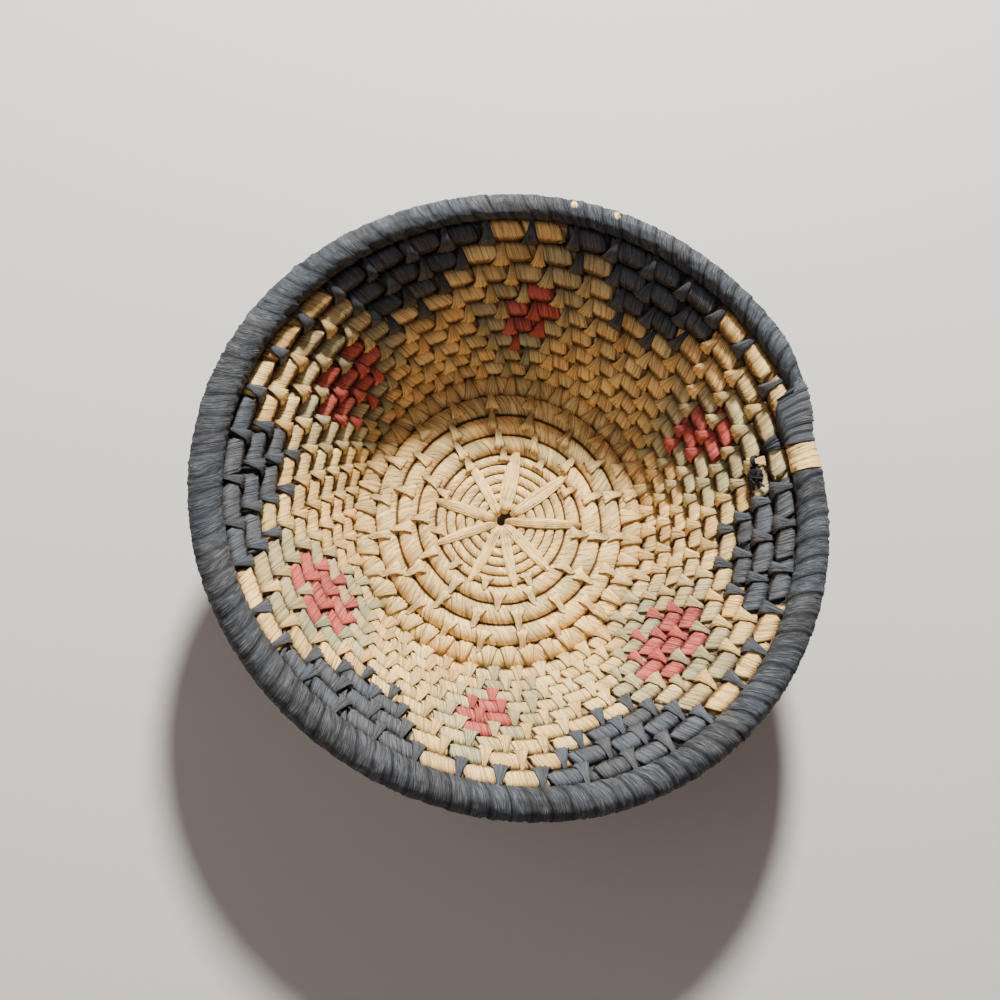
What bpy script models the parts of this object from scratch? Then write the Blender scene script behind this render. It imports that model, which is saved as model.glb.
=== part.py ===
"""Round coiled basket with a flat base, a flared wall and a thick bound rim.

One grass coil is wound clockwise from a small centre hole out to the rim.
It is modelled in the lengths in which it was spliced: thin start turns, thick
base turns, wall, pattern band, border and rim.  Nine raffia straps tie the thin
turns together, and looped stitches bind the thick base turns.
The origin is the middle of the footprint on the surface that the basket stands on.
"""

import bpy
import bmesh
import math
from mathutils import Vector
from mathutils.bvhtree import BVHTree

# Coil: widths measured across a row, in metres
START_COIL_WIDTH = 0.00375
SPLICE_COIL_WIDTH = 0.0066
BASE_COIL_WIDTH = 0.0084
EDGE_COIL_WIDTH = 0.0092
WALL_COIL_WIDTH = 0.0086
BORDER_COIL_WIDTH = 0.0097
RIM_COIL_WIDTH = 0.0122
RIM_LATE_WIDTH = 0.0088
RIM_TIP_WIDTH = 0.0036

# Spacing between neighbouring rows of the coil
START_ROW_GAP = 0.00060
STRAP_GROOVE_GAP = 0.0014
BASE_ROW_GAP = 0.0010
BEND_ROW_GAP = 0.0022
WALL_ROW_GAP = 0.0009

# Lengths of the coil, in turns counted from the centre
START_END_TURN = 6.11
BASE_END_TURN = 9.97
WALL_END_TURN = 12.97
PATTERN_END_TURN = 15.97
BORDER_END_TURN = 18.969
RIM_WRAP_END_TURN = 18.984
RIM_END_TURN = 19.955
RIM_TAPER_TURNS = 0.045
SPLICE_TURNS = 0.3
EDGE_EASE_TURNS = 0.5
RIM_EASE_TURNS = 0.1

# Winding: points on a loop, and the share of each turn in which it climbs outward
POINTS_PER_LOOP = 24
CLIMB_TURNS = 0.4
STEADY_CLIMB_SHARE = 0.4

# Form of the basket
HOLE_RADIUS = 0.0032
FLAT_RADIUS = 0.0635
BEND_RADIUS = 0.012
WALL_SLOPE = math.radians(63.0)
FLARE_RADIUS = 0.37
BASE_KICK = 0.0019
START_LIFT_SHARE = 0.25
FOOT_CUT_SHARE = 0.1
FOOT_CUTTER_SIDE = 4.0 * FLAT_RADIUS
RIM_OVAL = 0.020
RIM_OVAL_BEARING = math.radians(-32.0)
RIM_THREE_SIDES = 0.009
RIM_THREE_SIDES_BEARING = math.radians(60.0)

# Raffia straps over the thin start turns
STRAP_BEARINGS_DEG = (358.0, 36.0, 78.0, 120.0, 163.0, 199.5, 241.0, 281.0, 314.0)
STRAP_THICKNESS = 0.0006
STRAP_HOLE_WIDTH = 0.0009
STRAP_MIDDLE_WIDTH = 0.0050
STRAP_TIP_WIDTH = 0.0018
STRAP_LEAF_FULLNESS = 0.8

# Looped stitches round the thick base turns, up to where the coil comes down to the floor
STITCHED_FROM_TURN = 7
STITCHED_TO_TURN = 8.85
STITCH_THICKNESS = 0.00034
STITCH_APEX_WIDTH = 0.0018
STITCH_FAN_WIDTH = 0.0056

# Knot of thread on the border
KNOT_TURN = 16.975
KNOT_THREAD_DIAMETER = 0.0010
KNOT_LENGTH = 0.00336
KNOT_WIDTH = 0.0024
KNOT_DEPTH = 0.0010
KNOT_POINTS = 48

# Space left between pieces that touch on the real basket
CLEARANCE = 0.0003

HEX_SIDES = 6
FLAT_TO_CORNER = 1.0 / math.cos(math.pi / HEX_SIDES)

# Colour, roughness and metallic value of each finish
FINISHES = {
    "straw": ((0.72, 0.55, 0.33, 1.0), 0.62, 0.0),
    "golden": ((0.66, 0.45, 0.22, 1.0), 0.60, 0.0),
    "sage": ((0.50, 0.45, 0.28, 1.0), 0.62, 0.0),
    "charcoal": ((0.060, 0.064, 0.072, 1.0), 0.55, 0.0),
    "thread": ((0.020, 0.022, 0.028, 1.0), 0.70, 0.0),
}


def smooth_step(x):
    """Ease from 0 to 1."""
    x = min(max(x, 0.0), 1.0)
    return x * x * (3.0 - 2.0 * x)


def eased_value(stations, turn):
    """Value at a turn, easing between the turns that have a stated one."""
    for (turn_a, value_a), (turn_b, value_b) in zip(stations, stations[1:]):
        if turn <= turn_b:
            ease = smooth_step((turn - turn_a) / (turn_b - turn_a))
            return value_a + (value_b - value_a) * ease
    return stations[-1][1]


def width_stations():
    """Turns at which the coil has a stated width."""
    late_turn = RIM_END_TURN - CLIMB_TURNS
    taper_turn = RIM_END_TURN - RIM_TAPER_TURNS
    return (
        (0.0, START_COIL_WIDTH),
        (START_END_TURN - SPLICE_TURNS, START_COIL_WIDTH),
        (START_END_TURN, SPLICE_COIL_WIDTH),
        (START_END_TURN + 1.0, BASE_COIL_WIDTH),
        (BASE_END_TURN - EDGE_EASE_TURNS, EDGE_COIL_WIDTH),
        (BASE_END_TURN + EDGE_EASE_TURNS, WALL_COIL_WIDTH),
        (PATTERN_END_TURN, WALL_COIL_WIDTH),
        (PATTERN_END_TURN + 1.0, BORDER_COIL_WIDTH),
        (BORDER_END_TURN - RIM_EASE_TURNS, BORDER_COIL_WIDTH),
        (BORDER_END_TURN + RIM_EASE_TURNS, RIM_COIL_WIDTH),
        (late_turn, RIM_COIL_WIDTH),
        (RIM_END_TURN - CLIMB_TURNS / 2.0, RIM_LATE_WIDTH),
        (taper_turn, RIM_LATE_WIDTH),
        (RIM_END_TURN, RIM_TIP_WIDTH),
    )


def gap_stations():
    """Turns at which the row has a stated space to the row one turn further in."""
    return (
        (0.0, START_ROW_GAP),
        (START_END_TURN - SPLICE_TURNS, START_ROW_GAP),
        (START_END_TURN, STRAP_GROOVE_GAP),
        (START_END_TURN + 1.0, STRAP_GROOVE_GAP),
        (START_END_TURN + 1.0 + SPLICE_TURNS, BASE_ROW_GAP),
        (BASE_END_TURN - SPLICE_TURNS, BASE_ROW_GAP),
        (BASE_END_TURN, BEND_ROW_GAP),
        (BASE_END_TURN + 1.0 + SPLICE_TURNS, BEND_ROW_GAP),
        (BASE_END_TURN + 1.0 + 2.0 * SPLICE_TURNS, WALL_ROW_GAP),
    )


def coil_width(turn):
    """Width of the coil across its row at a turn."""
    return eased_value(width_stations(), turn)


def row_gap(turn):
    """Space between the row at a turn and the row one turn further in."""
    return eased_value(gap_stations(), turn)


def climb(turn):
    """Share of one row that the first loop has climbed at a turn from 0 to 1."""
    late = smooth_step((turn - (1.0 - CLIMB_TURNS)) / CLIMB_TURNS)
    return STEADY_CLIMB_SHARE * turn + (1.0 - STEADY_CLIMB_SHARE) * late


def profile_distances():
    """Distance of each coil point from the axis, measured along the basket's profile."""
    count = int(RIM_END_TURN * POINTS_PER_LOOP) + 2
    distances = []
    for index in range(count):
        turn = index / POINTS_PER_LOOP
        width = coil_width(turn)
        if index < POINTS_PER_LOOP:
            pitch = START_COIL_WIDTH + START_ROW_GAP
            distances.append(HOLE_RADIUS + width / 2.0 + pitch * climb(turn))
            continue
        inner_width = coil_width(turn - 1.0)
        step = (width + inner_width) / 2.0 + row_gap(turn)
        distances.append(distances[index - POINTS_PER_LOOP] + step)
    return distances


DISTANCES = profile_distances()


def profile_distance(turn):
    """Distance along the profile at any turn."""
    place = turn * POINTS_PER_LOOP
    index = min(int(place), len(DISTANCES) - 2)
    share = place - index
    return DISTANCES[index] * (1.0 - share) + DISTANCES[index + 1] * share


FOOT_CORNER_RADIUS = EDGE_COIL_WIDTH / 2.0 * FLAT_TO_CORNER
FOOT_CUT = 2.0 * FOOT_CORNER_RADIUS * FOOT_CUT_SHARE
EDGE_CENTRE_HEIGHT = FOOT_CORNER_RADIUS - FOOT_CUT


def profile_point(turn):
    """Radius, height and slope of the coil's centre line at a turn."""
    distance = profile_distance(turn)
    bend_start = FLAT_RADIUS
    bend_length = BEND_RADIUS * WALL_SLOPE
    if distance < bend_start:
        kick = BASE_KICK + START_LIFT_SHARE * (EDGE_COIL_WIDTH - coil_width(turn))
        kick *= smooth_step((bend_start - distance) / EDGE_COIL_WIDTH)
        return distance, EDGE_CENTRE_HEIGHT + kick, 0.0
    if distance < bend_start + bend_length:
        slope = (distance - bend_start) / BEND_RADIUS
        radius = bend_start + BEND_RADIUS * math.sin(slope)
        height = EDGE_CENTRE_HEIGHT + BEND_RADIUS * (1.0 - math.cos(slope))
        return radius, height, slope
    slope = WALL_SLOPE - (distance - bend_start - bend_length) / FLARE_RADIUS
    radius = bend_start + BEND_RADIUS * math.sin(WALL_SLOPE)
    radius += FLARE_RADIUS * (math.sin(WALL_SLOPE) - math.sin(slope))
    height = EDGE_CENTRE_HEIGHT + BEND_RADIUS * (1.0 - math.cos(WALL_SLOPE))
    height += FLARE_RADIUS * (math.cos(slope) - math.cos(WALL_SLOPE))
    return radius, height, slope


def out_of_round(bearing, distance):
    """Factor on the radius: the wall grows slightly oval towards the rim."""
    rim_distance = profile_distance(BORDER_END_TURN)
    share = smooth_step((distance - FLAT_RADIUS) / (rim_distance - FLAT_RADIUS))
    oval = RIM_OVAL * math.cos(2.0 * (bearing - RIM_OVAL_BEARING))
    three = RIM_THREE_SIDES * math.cos(3.0 * (bearing - RIM_THREE_SIDES_BEARING))
    return 1.0 + share * (oval + three)


def coil_frame(turn):
    """Centre, outward profile direction, inward wall normal and corner radius at a turn."""
    bearing = -2.0 * math.pi * turn
    radius, height, slope = profile_point(turn)
    radius *= out_of_round(bearing, profile_distance(turn))
    outward = Vector((math.cos(bearing), math.sin(bearing), 0.0))
    up = Vector((0.0, 0.0, 1.0))
    centre = outward * radius + up * height
    along_profile = outward * math.cos(slope) + up * math.sin(slope)
    normal = up * math.cos(slope) - outward * math.sin(slope)
    corner_radius = coil_width(turn) / 2.0 * FLAT_TO_CORNER
    return centre, along_profile, normal, corner_radius


def tube_corners(turn):
    """Corners of the tube's section at a loop point, square to the winding."""
    step = 1.0 / POINTS_PER_LOOP
    centre, _, normal, corner_radius = coil_frame(turn)
    along_row = (coil_frame(turn - step)[0] - coil_frame(turn + step)[0]).normalized()
    across_row = normal.cross(along_row).normalized()
    square_normal = along_row.cross(across_row)
    corners = []
    for side in range(HEX_SIDES):
        angle = 2.0 * math.pi * side / HEX_SIDES
        reach = square_normal * math.cos(angle) + across_row * math.sin(angle)
        corners.append(centre + reach * corner_radius)
    return corners


def footprint_centre():
    """Middle of the rim's extent in X and Y, which the origin stands under."""
    steps = int((RIM_END_TURN - BORDER_END_TURN) * POINTS_PER_LOOP) + 1
    xs = []
    ys = []
    first = math.ceil(BORDER_END_TURN * POINTS_PER_LOOP)
    for index in range(first, first + steps):
        for corner in tube_corners(index / POINTS_PER_LOOP):
            xs.append(corner.x)
            ys.append(corner.y)
    return Vector(((max(xs) + min(xs)) / 2.0, (max(ys) + min(ys)) / 2.0, 0.0))


FOOTPRINT_CENTRE = footprint_centre()


def straight_point(turn):
    """Centre of the coil at a turn, on the straight run between its two loop points."""
    place = turn * POINTS_PER_LOOP
    index = math.floor(place)
    share = place - index
    point_a = coil_frame(index / POINTS_PER_LOOP)[0]
    point_b = coil_frame((index + 1) / POINTS_PER_LOOP)[0]
    return point_a.lerp(point_b, share)


def row_direction(turn):
    """Way in which the straight run at a turn goes, against the winding."""
    index = math.floor(turn * POINTS_PER_LOOP)
    point_a = coil_frame(index / POINTS_PER_LOOP)[0]
    point_b = coil_frame((index + 1) / POINTS_PER_LOOP)[0]
    return (point_a - point_b).normalized()


def length_turns(first_turn, last_turn):
    """Turns of the points of one length of coil, its ends drawn back by half a clearance."""
    first_index = math.floor(first_turn * POINTS_PER_LOOP) + 1
    last_index = math.ceil(last_turn * POINTS_PER_LOOP) - 1
    radius = profile_point(first_turn)[0]
    start_turn = first_turn + CLEARANCE / 2.0 / (2.0 * math.pi * radius)
    radius = profile_point(last_turn)[0]
    end_turn = last_turn - CLEARANCE / 2.0 / (2.0 * math.pi * radius)
    turns = [start_turn]
    turns += [index / POINTS_PER_LOOP for index in range(first_index, last_index + 1)]
    turns.append(end_turn)
    return turns


def finish_material(name, finish):
    """Principled material of a piece."""
    colour, roughness, metallic = FINISHES[finish]
    material = bpy.data.materials.new(name)
    material.use_nodes = True
    shader = material.node_tree.nodes["Principled BSDF"]
    shader.inputs["Base Color"].default_value = colour
    shader.inputs["Roughness"].default_value = roughness
    shader.inputs["Metallic"].default_value = metallic
    return material


def link_object(name, data, finish):
    """Object of a piece, standing over the footprint's centre, with its material."""
    piece = bpy.data.objects.new(name, data)
    bpy.context.collection.objects.link(piece)
    data.materials.append(finish_material(name, finish))
    piece.location = -FOOTPRINT_CENTRE
    return piece


def coil_tube(name, turns, finish):
    """One unbroken length of coil: a six-sided tube through its loop points."""
    curve = bpy.data.curves.new(name, "CURVE")
    curve.dimensions = "3D"
    curve.twist_mode = "Z_UP"
    curve.bevel_depth = 1.0
    curve.bevel_resolution = 1
    curve.use_fill_caps = True
    spline = curve.splines.new("POLY")
    spline.points.add(len(turns) - 1)
    for point, turn in zip(spline.points, turns):
        point.co = (*straight_point(turn), 1.0)
        point.radius = coil_frame(turn)[3]
        point.tilt = math.pi / HEX_SIDES + profile_point(turn)[2]
    return link_object(name, curve, finish)


def print_least_gap(name, turns):
    """Measure how near a length of coil comes to itself, from its corners to its faces."""
    rings = [tube_corners(turn) for turn in turns[1:-1]]
    places = [corner for ring in rings for corner in ring]
    half_loop = POINTS_PER_LOOP // 2
    least = math.inf
    for index, ring in enumerate(rings):
        faces = []
        for start in range(index + half_loop, len(rings) - 1):
            for side in range(HEX_SIDES):
                after = (side + 1) % HEX_SIDES
                near = start * HEX_SIDES
                far = near + HEX_SIDES
                faces.append((near + side, near + after, far + after, far + side))
        if faces:
            tree = BVHTree.FromPolygons(places, faces)
            least = min([least] + [tree.find_nearest(corner)[3] for corner in ring])
    if math.isfinite(least):
        print(f"{name}: least gap to itself {least * 1000.0:.2f} mm")


def build_coil_lengths():
    """The lengths of the coil, end to end from the centre to the rim's tip."""
    lengths = (
        ("start_coil", 0.0, START_END_TURN, "straw"),
        ("base_coil", START_END_TURN, BASE_END_TURN, "straw"),
        ("wall_coil", BASE_END_TURN, WALL_END_TURN, "golden"),
        ("pattern_coil", WALL_END_TURN, PATTERN_END_TURN, "sage"),
        ("border_coil", PATTERN_END_TURN, BORDER_END_TURN, "golden"),
        ("rim_start_wrap", BORDER_END_TURN, RIM_WRAP_END_TURN, "straw"),
        ("rim_coil", RIM_WRAP_END_TURN, RIM_END_TURN, "charcoal"),
    )
    for name, first_turn, last_turn, finish in lengths:
        turns = length_turns(first_turn, last_turn)
        coil = coil_tube(name, turns, finish)
        print_least_gap(name, turns)
        if name == "base_coil":
            cut_foot(mesh_of_curve(coil))


def mesh_of_curve(piece):
    """Turn a curve piece into a mesh piece of the same name, so that it can be cut."""
    name = piece.name
    depsgraph = bpy.context.evaluated_depsgraph_get()
    mesh = bpy.data.meshes.new_from_object(piece.evaluated_get(depsgraph))
    location = piece.location.copy()
    bpy.data.objects.remove(piece, do_unlink=True)
    solid = bpy.data.objects.new(name, mesh)
    bpy.context.collection.objects.link(solid)
    solid.location = location
    return solid


def cut_foot(coil):
    """Cut the outermost base turn flat where the basket stands."""
    depth = 2.0 * FOOT_CUT
    mesh = bpy.data.meshes.new("foot_cutter")
    shape = bmesh.new()
    bmesh.ops.create_cube(shape, size=1.0)
    sides = (FOOT_CUTTER_SIDE, FOOT_CUTTER_SIDE, depth)
    bmesh.ops.scale(shape, vec=sides, verts=shape.verts)
    bmesh.ops.translate(shape, vec=(0.0, 0.0, -depth / 2.0), verts=shape.verts)
    shape.to_mesh(mesh)
    shape.free()
    cutter = bpy.data.objects.new("foot_cutter", mesh)
    bpy.context.collection.objects.link(cutter)
    cutter.hide_render = True
    cutter.display_type = "WIRE"
    cut = coil.modifiers.new("foot", "BOOLEAN")
    cut.operation = "DIFFERENCE"
    cut.solver = "EXACT"
    cut.object = cutter


def band_mesh(name, loop, widths, offsets, across):
    """Closed band: a loop of points with a width each, thickened between two offsets."""
    shape = bmesh.new()
    rings = []
    for (point, outward), width in zip(loop, widths):
        ring = []
        for offset, side in ((0, -1.0), (0, 1.0), (1, 1.0), (1, -1.0)):
            place = point + outward * offsets[offset] + across * (side * width / 2.0)
            ring.append(shape.verts.new(place))
        rings.append(ring)
    for ring, following in zip(rings, rings[1:] + rings[:1]):
        for corner in range(4):
            after = (corner + 1) % 4
            shape.faces.new((ring[corner], ring[after], following[after], following[corner]))
    bmesh.ops.recalc_face_normals(shape, faces=shape.faces)
    mesh = bpy.data.meshes.new(name)
    shape.to_mesh(mesh)
    shape.free()
    return mesh


def turns_inside_groove(bearing):
    """Turns at which the start length crosses a bearing, inside the strap groove."""
    share = (-bearing / (2.0 * math.pi)) % 1.0
    turns = []
    while share <= START_END_TURN:
        turns.append(share)
        share += 1.0
    return turns


def strap_loop(bearing):
    """Points of a strap's inner face round the thin turns, each with its outward way."""
    outward = Vector((math.cos(bearing), math.sin(bearing), 0.0))
    up = Vector((0.0, 0.0, 1.0))
    turns = turns_inside_groove(bearing)
    frames = [coil_frame(turn) for turn in turns]
    inner_radius = frames[0][0].dot(outward) - coil_width(turns[0]) / 2.0
    outer_radius = frames[-1][0].dot(outward) + coil_width(turns[-1]) / 2.0
    loop = []
    for side in (1.0, -1.0):
        row = []
        for centre, _, _, corner_radius in frames:
            height = centre.z + side * corner_radius
            row.append((outward * centre.dot(outward) + up * height, up * side))
        inner_height = frames[0][0].z + side * frames[0][3] / 2.0
        outer_height = frames[-1][0].z + side * frames[-1][3] / 2.0
        inner_end = (outward * inner_radius + up * inner_height, up * side - outward)
        outer_end = (outward * outer_radius + up * outer_height, up * side + outward)
        row = [inner_end] + row + [outer_end]
        loop += row if side > 0.0 else row[::-1]
    return loop, inner_radius, outer_radius


def build_straps():
    """Nine leaf-shaped straps through the centre hole and round the thin turns."""
    for number, degrees in enumerate(STRAP_BEARINGS_DEG, start=1):
        bearing = math.radians(degrees)
        across = Vector((-math.sin(bearing), math.cos(bearing), 0.0))
        loop, inner_radius, outer_radius = strap_loop(bearing)
        widths = []
        for point, _ in loop:
            radius = math.hypot(point.x, point.y)
            share = (radius - inner_radius) / (outer_radius - inner_radius)
            share = min(max(share, 0.0), 1.0)
            ends = STRAP_HOLE_WIDTH * (1.0 - share) + STRAP_TIP_WIDTH * share
            swell = math.sin(math.pi * share) ** STRAP_LEAF_FULLNESS
            widths.append(ends + (STRAP_MIDDLE_WIDTH - ends) * swell)
        name = f"start_strap_{number}"
        offsets = (CLEARANCE, CLEARANCE + STRAP_THICKNESS)
        mesh = band_mesh(name, loop, widths, offsets, across)
        link_object(name, mesh, "straw")


def stitch_loop(turn):
    """Corners round one row, each with the way out of the row, and their widths."""
    _, _, normal, corner_radius = coil_frame(turn)
    centre = straight_point(turn)
    along_row = row_direction(turn)
    along_profile = normal.cross(along_row).normalized()
    square_normal = along_row.cross(along_profile)
    width_at_side = (STITCH_APEX_WIDTH + STITCH_FAN_WIDTH) / 2.0
    loop = []
    widths = []
    for side in range(HEX_SIDES):
        angle = 2.0 * math.pi * side / HEX_SIDES
        reach = square_normal * math.cos(angle) + along_profile * math.sin(angle)
        loop.append((centre + reach * corner_radius, reach * FLAT_TO_CORNER))
        outer_share = math.sin(angle)
        spread = (STITCH_FAN_WIDTH - STITCH_APEX_WIDTH) / 2.0
        widths.append(width_at_side - spread * outer_share * FLAT_TO_CORNER)
    return loop, widths


def stitch_places():
    """Turns of the stitches: the middle of every other straight run, staggered row by row."""
    first_run = STITCHED_FROM_TURN * POINTS_PER_LOOP
    last_run = math.floor(STITCHED_TO_TURN * POINTS_PER_LOOP)
    places = []
    for run in range(first_run, last_run):
        if (run + run // POINTS_PER_LOOP) % 2 == 0:
            places.append((run + 0.5) / POINTS_PER_LOOP)
    return places


def build_base_stitches():
    """Fan-shaped stitches looped round the thick base turns."""
    for number, place in enumerate(stitch_places(), start=1):
        loop, widths = stitch_loop(place)
        name = f"base_stitch_{number:02d}"
        offsets = (CLEARANCE, CLEARANCE + STITCH_THICKNESS)
        mesh = band_mesh(name, loop, widths, offsets, row_direction(place))
        link_object(name, mesh, "straw")


def build_thread_knot():
    """A thread tied in an overhand knot, lying on the inner face of the border."""
    _, along_profile, normal, corner_radius = coil_frame(KNOT_TURN)
    centre = straight_point(KNOT_TURN)
    along_row = along_profile.cross(normal)
    lift = corner_radius + CLEARANCE + KNOT_THREAD_DIAMETER / 2.0 + KNOT_DEPTH
    middle = centre + normal * lift
    curve = bpy.data.curves.new("thread_knot", "CURVE")
    curve.dimensions = "3D"
    curve.bevel_depth = KNOT_THREAD_DIAMETER / 2.0
    curve.bevel_resolution = 1
    spline = curve.splines.new("POLY")
    spline.points.add(KNOT_POINTS - 1)
    spline.use_cyclic_u = True
    for index, point in enumerate(spline.points):
        angle = 2.0 * math.pi * index / KNOT_POINTS
        across = (math.sin(angle) + 2.0 * math.sin(2.0 * angle)) / 3.0
        along = (math.cos(angle) - 2.0 * math.cos(2.0 * angle)) / 3.0
        depth = -math.sin(3.0 * angle)
        place = middle + along_row * (across * KNOT_LENGTH)
        place += along_profile * (along * KNOT_WIDTH) + normal * (depth * KNOT_DEPTH)
        point.co = (*place, 1.0)
    link_object("thread_knot", curve, "thread")


def clear_scene():
    """Remove every object that the file holds."""
    for item in list(bpy.data.objects):
        bpy.data.objects.remove(item, do_unlink=True)


def main():
    """Build every piece of the basket."""
    clear_scene()
    build_coil_lengths()
    build_straps()
    build_base_stitches()
    build_thread_knot()


main()
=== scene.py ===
"""Looks of the round coiled basket: wrapped coil, bow-tie stitches, straps, rim and knot."""

import math
import random

import bmesh
import bpy
import numpy as np
from mathutils import Matrix, Vector


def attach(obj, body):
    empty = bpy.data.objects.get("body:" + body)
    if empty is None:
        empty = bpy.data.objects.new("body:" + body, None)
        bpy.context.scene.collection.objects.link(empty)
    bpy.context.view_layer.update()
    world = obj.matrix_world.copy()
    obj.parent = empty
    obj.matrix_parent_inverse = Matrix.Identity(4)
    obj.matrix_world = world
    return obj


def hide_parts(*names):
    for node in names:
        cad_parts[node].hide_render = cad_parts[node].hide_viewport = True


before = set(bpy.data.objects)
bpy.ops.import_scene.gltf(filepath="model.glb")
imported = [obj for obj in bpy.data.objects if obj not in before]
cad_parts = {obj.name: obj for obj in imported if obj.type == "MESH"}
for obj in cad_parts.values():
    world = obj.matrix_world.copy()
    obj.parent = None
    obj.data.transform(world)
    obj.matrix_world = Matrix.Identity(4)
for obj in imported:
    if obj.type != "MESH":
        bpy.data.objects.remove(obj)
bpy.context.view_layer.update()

bl_info = {
    "name": "Round coiled basket",
    "version": (1, 0, 0),
    "blender": (4, 5, 0),
    "location": "View3D > Sidebar > Basket",
    "description": "Dresses the coiled basket: wrapped coil, bow-tie stitches, straps, rim and knot",
    "category": "Add Mesh",
}

# Turns at which the lengths of the coil end
START_END, BASE_END, WALL_END, PATTERN_END, BORDER_END = 6.11, 9.97, 12.97, 15.97, 18.969
RIM_WRAP_END, RIM_END = 18.984, 19.955

# Points of the path on each turn, and one turn in radians
LOOP = 96
FULL_TURN = 2.0 * math.pi

# Turns over which widths and gaps change where thicker grass is spliced in
SPLICE = 0.3

# Share of the climb that is even, and the part of a turn from which the rest is climbed
EVEN_CLIMB, CLIMB_FROM = 0.4, 0.6

# Height of the worn base's centre line per corner radius of the section, and that radius
# per radius of the coil
WORN_BASE, SECTION_CORNER = 0.8, 1.155

# Bearings in degrees of the oval's long side and of one corner of the three-sided form
OVAL_BEARING, CORNER_BEARING = -32.0, 60.0

# Widest gap between two rows that the wrapping closes
CLOSED_GAP = 0.0014

# Natural flecks of the rim: bearing in degrees and angle round the coil, and their half sizes
FLECKS = ((71.0, 1.25), (79.6, 1.2))
FLECK_BEARING, FLECK_ANGLE = 0.62, 0.34

# Stitches per turn on the base, by turn
BASE_DENSITY = ((5.9, 9.5), (6.4, 10.5), (7.4, 12.5), (8.4, 15.5), (9.3, 19.5), (9.9, 20.25))

# Step in turns at which the stitches are counted off
COUNT_STEP = 0.0005

# The pattern: bearings of its figures, half their widths in degrees by row, and their lean
RED_BEARINGS = (21.0, 84.0, 144.0, 203.5, 263.0, 321.0)
DARK_BEARINGS = (58.0, 114.0, 175.0, 235.0, 294.0, 352.0)
DARK_REACH = {18: 18.0, 17: 13.5, 16: 9.0}
RED_REACH = {15: 6.5, 14: 11.0, 13: 7.0}
SAGE_REACH = {17: 8.0, 16: 12.0, 15: 16.0, 14: 20.0, 13: 17.0, 12: 13.0, 11: 8.0}
MIDDLE_ROW, LEAN_PER_ROW = 14, 1.5

# Differences between strands: undyed among golden, fading of sage, brightness and warmth
UNDYED_SHARE, SAGE_FADE, BRIGHTNESS, WARMTH = 0.5, 0.45, 0.14, (-0.09, 0.07)

# Points of the start coil that share a tone, tone of the rim, and the lightening of the base
# stitches, a painted highlight
TONE_POINTS, RIM_TONE, BASE_STITCH_HIGHLIGHT = 40, 0.67, 1.12

# How full the coil is wrapped, by turn
FULLNESS = (
    (0.0, 0.94), (5.6, 0.94), (6.2, 1.0), (9.7, 1.0), (10.2, 0.92), (18.8, 0.92), (19.0, 1.0),
    (20.0, 1.0),
)

# Wrapping of the rim and of the other rows
RIM_WRAPPING = {"Sway": 0.55, "Lean": 0.38, "Shingle": 0.9, "Unevenness": 0.36, "Seal": 0.0}
ROW_WRAPPING = {"Sway": 1.2, "Lean": 0.9, "Shingle": 0.2, "Unevenness": 0.18, "Seal": 1.0}

# Least height of the coil's underside over the floor
COIL_FLOOR = 0.0006

# Columns across a stitch, and its places along
STITCH_COLUMNS = 9
STITCH_ALONG = (0.0, 0.14, 0.28, 0.40, 0.48, 0.60, 0.76, 0.92, 1.0)

# Form of a stitch on the base, over the rim and on the wall, and the strength of the painted shade
# in its crevices
STITCH_FORMS = {
    "own_lift": (0.0003, -0.0026, 0.0),
    "own_start": (-0.3, -0.5, 1.5),
    "bend": (0.6, 1.0, 1.0),
    "inner_end": (-0.25, -0.88, -0.88),
    "tuck": (0.0026, 0.0012, 0.0012),
    "narrows": (0.0, 0.0, 0.35),
    "pinch": (0.25, 0.25, 1.0),
}

# Start of a pointed stitch, thickness of a stitch, and height of a fan on the base
POINTED_BLOCK, STITCH_THICKNESS, BASE_FLATNESS = 0.0005, 0.0007, 0.4

# How far a stitch squeezes the coil along it, in shares of the spacing, and how much on the base
SQUEEZE_REACH, BASE_SQUEEZE = 0.24, 0.3

# How much one stitch differs from the next: its place, block, fan, lean and slant
STITCH_VARIETY = {
    "place": 0.045, "block": 0.05, "fan": 0.10, "base_fan": 0.15, "lean": 0.12, "slant": 0.2,
}

# What a dark streak and painted shade leave of a colour, and what pale fibres with painted sheen add
# to it
STREAK_AND_SHADE_DARK, PALE_FIBRE_SHEEN = (0.20, 0.162, 0.165), (0.088, 0.088, 0.084)

# Turns at which the wide wraps round the rim's end begin and are drawn together
CLOSING_START, CLOSING_APEX = 18.936, 18.968
CLOSING_WRAPS, CLOSING_SECTIONS, CLOSING_THICKNESS = 6, 37, 0.0011

# Their cover over the rows at the start, its rise, and the part over which it rises
COVER_START, COVER_RISE, COVER_EASE = -0.0008, 0.0013, 0.25

# The filling between the rows and its swelling, and a radius that leaves a circle out
FILLING, SWELLING, LEFT_OUT = 0.0038, 0.0022, -0.004

# Arcs of their outline and of the fan below it, in degrees and points, and a column on top
OUTLINE_ARC, FAN_ARC, TOP_COLUMN = (-100.0, 205.0, 30), (72.0, 212.0, 11), 12

# How far they are drawn together, in all and where the fan starts
DRAWN, DRAWN_AT_FAN = 0.94, 0.7

# Straps round the start: bearings in degrees, reach from the middle and width in millimetres
STRAP_BEARINGS = (358.0, 36.0, 78.0, 120.0, 163.0, 199.5, 241.0, 281.0, 314.0)
STRAP_REACHES = (38.2, 37.8, 35.2, 34.2, 33.4, 33.4, 33.4, 32.2, 33.0)
STRAP_WIDTHS = (5.4, 6.2, 7.8, 5.0, 5.6, 4.8, 5.2, 5.2, 5.6)
STRAP_SECTIONS = 34

# Their height over the coil, the dips between its turns, and the half width of a turn's ridge
STRAP_LIFT, STRAP_DIP, RIDGE_REACH = 0.00045, 0.0005, 0.0022

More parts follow.
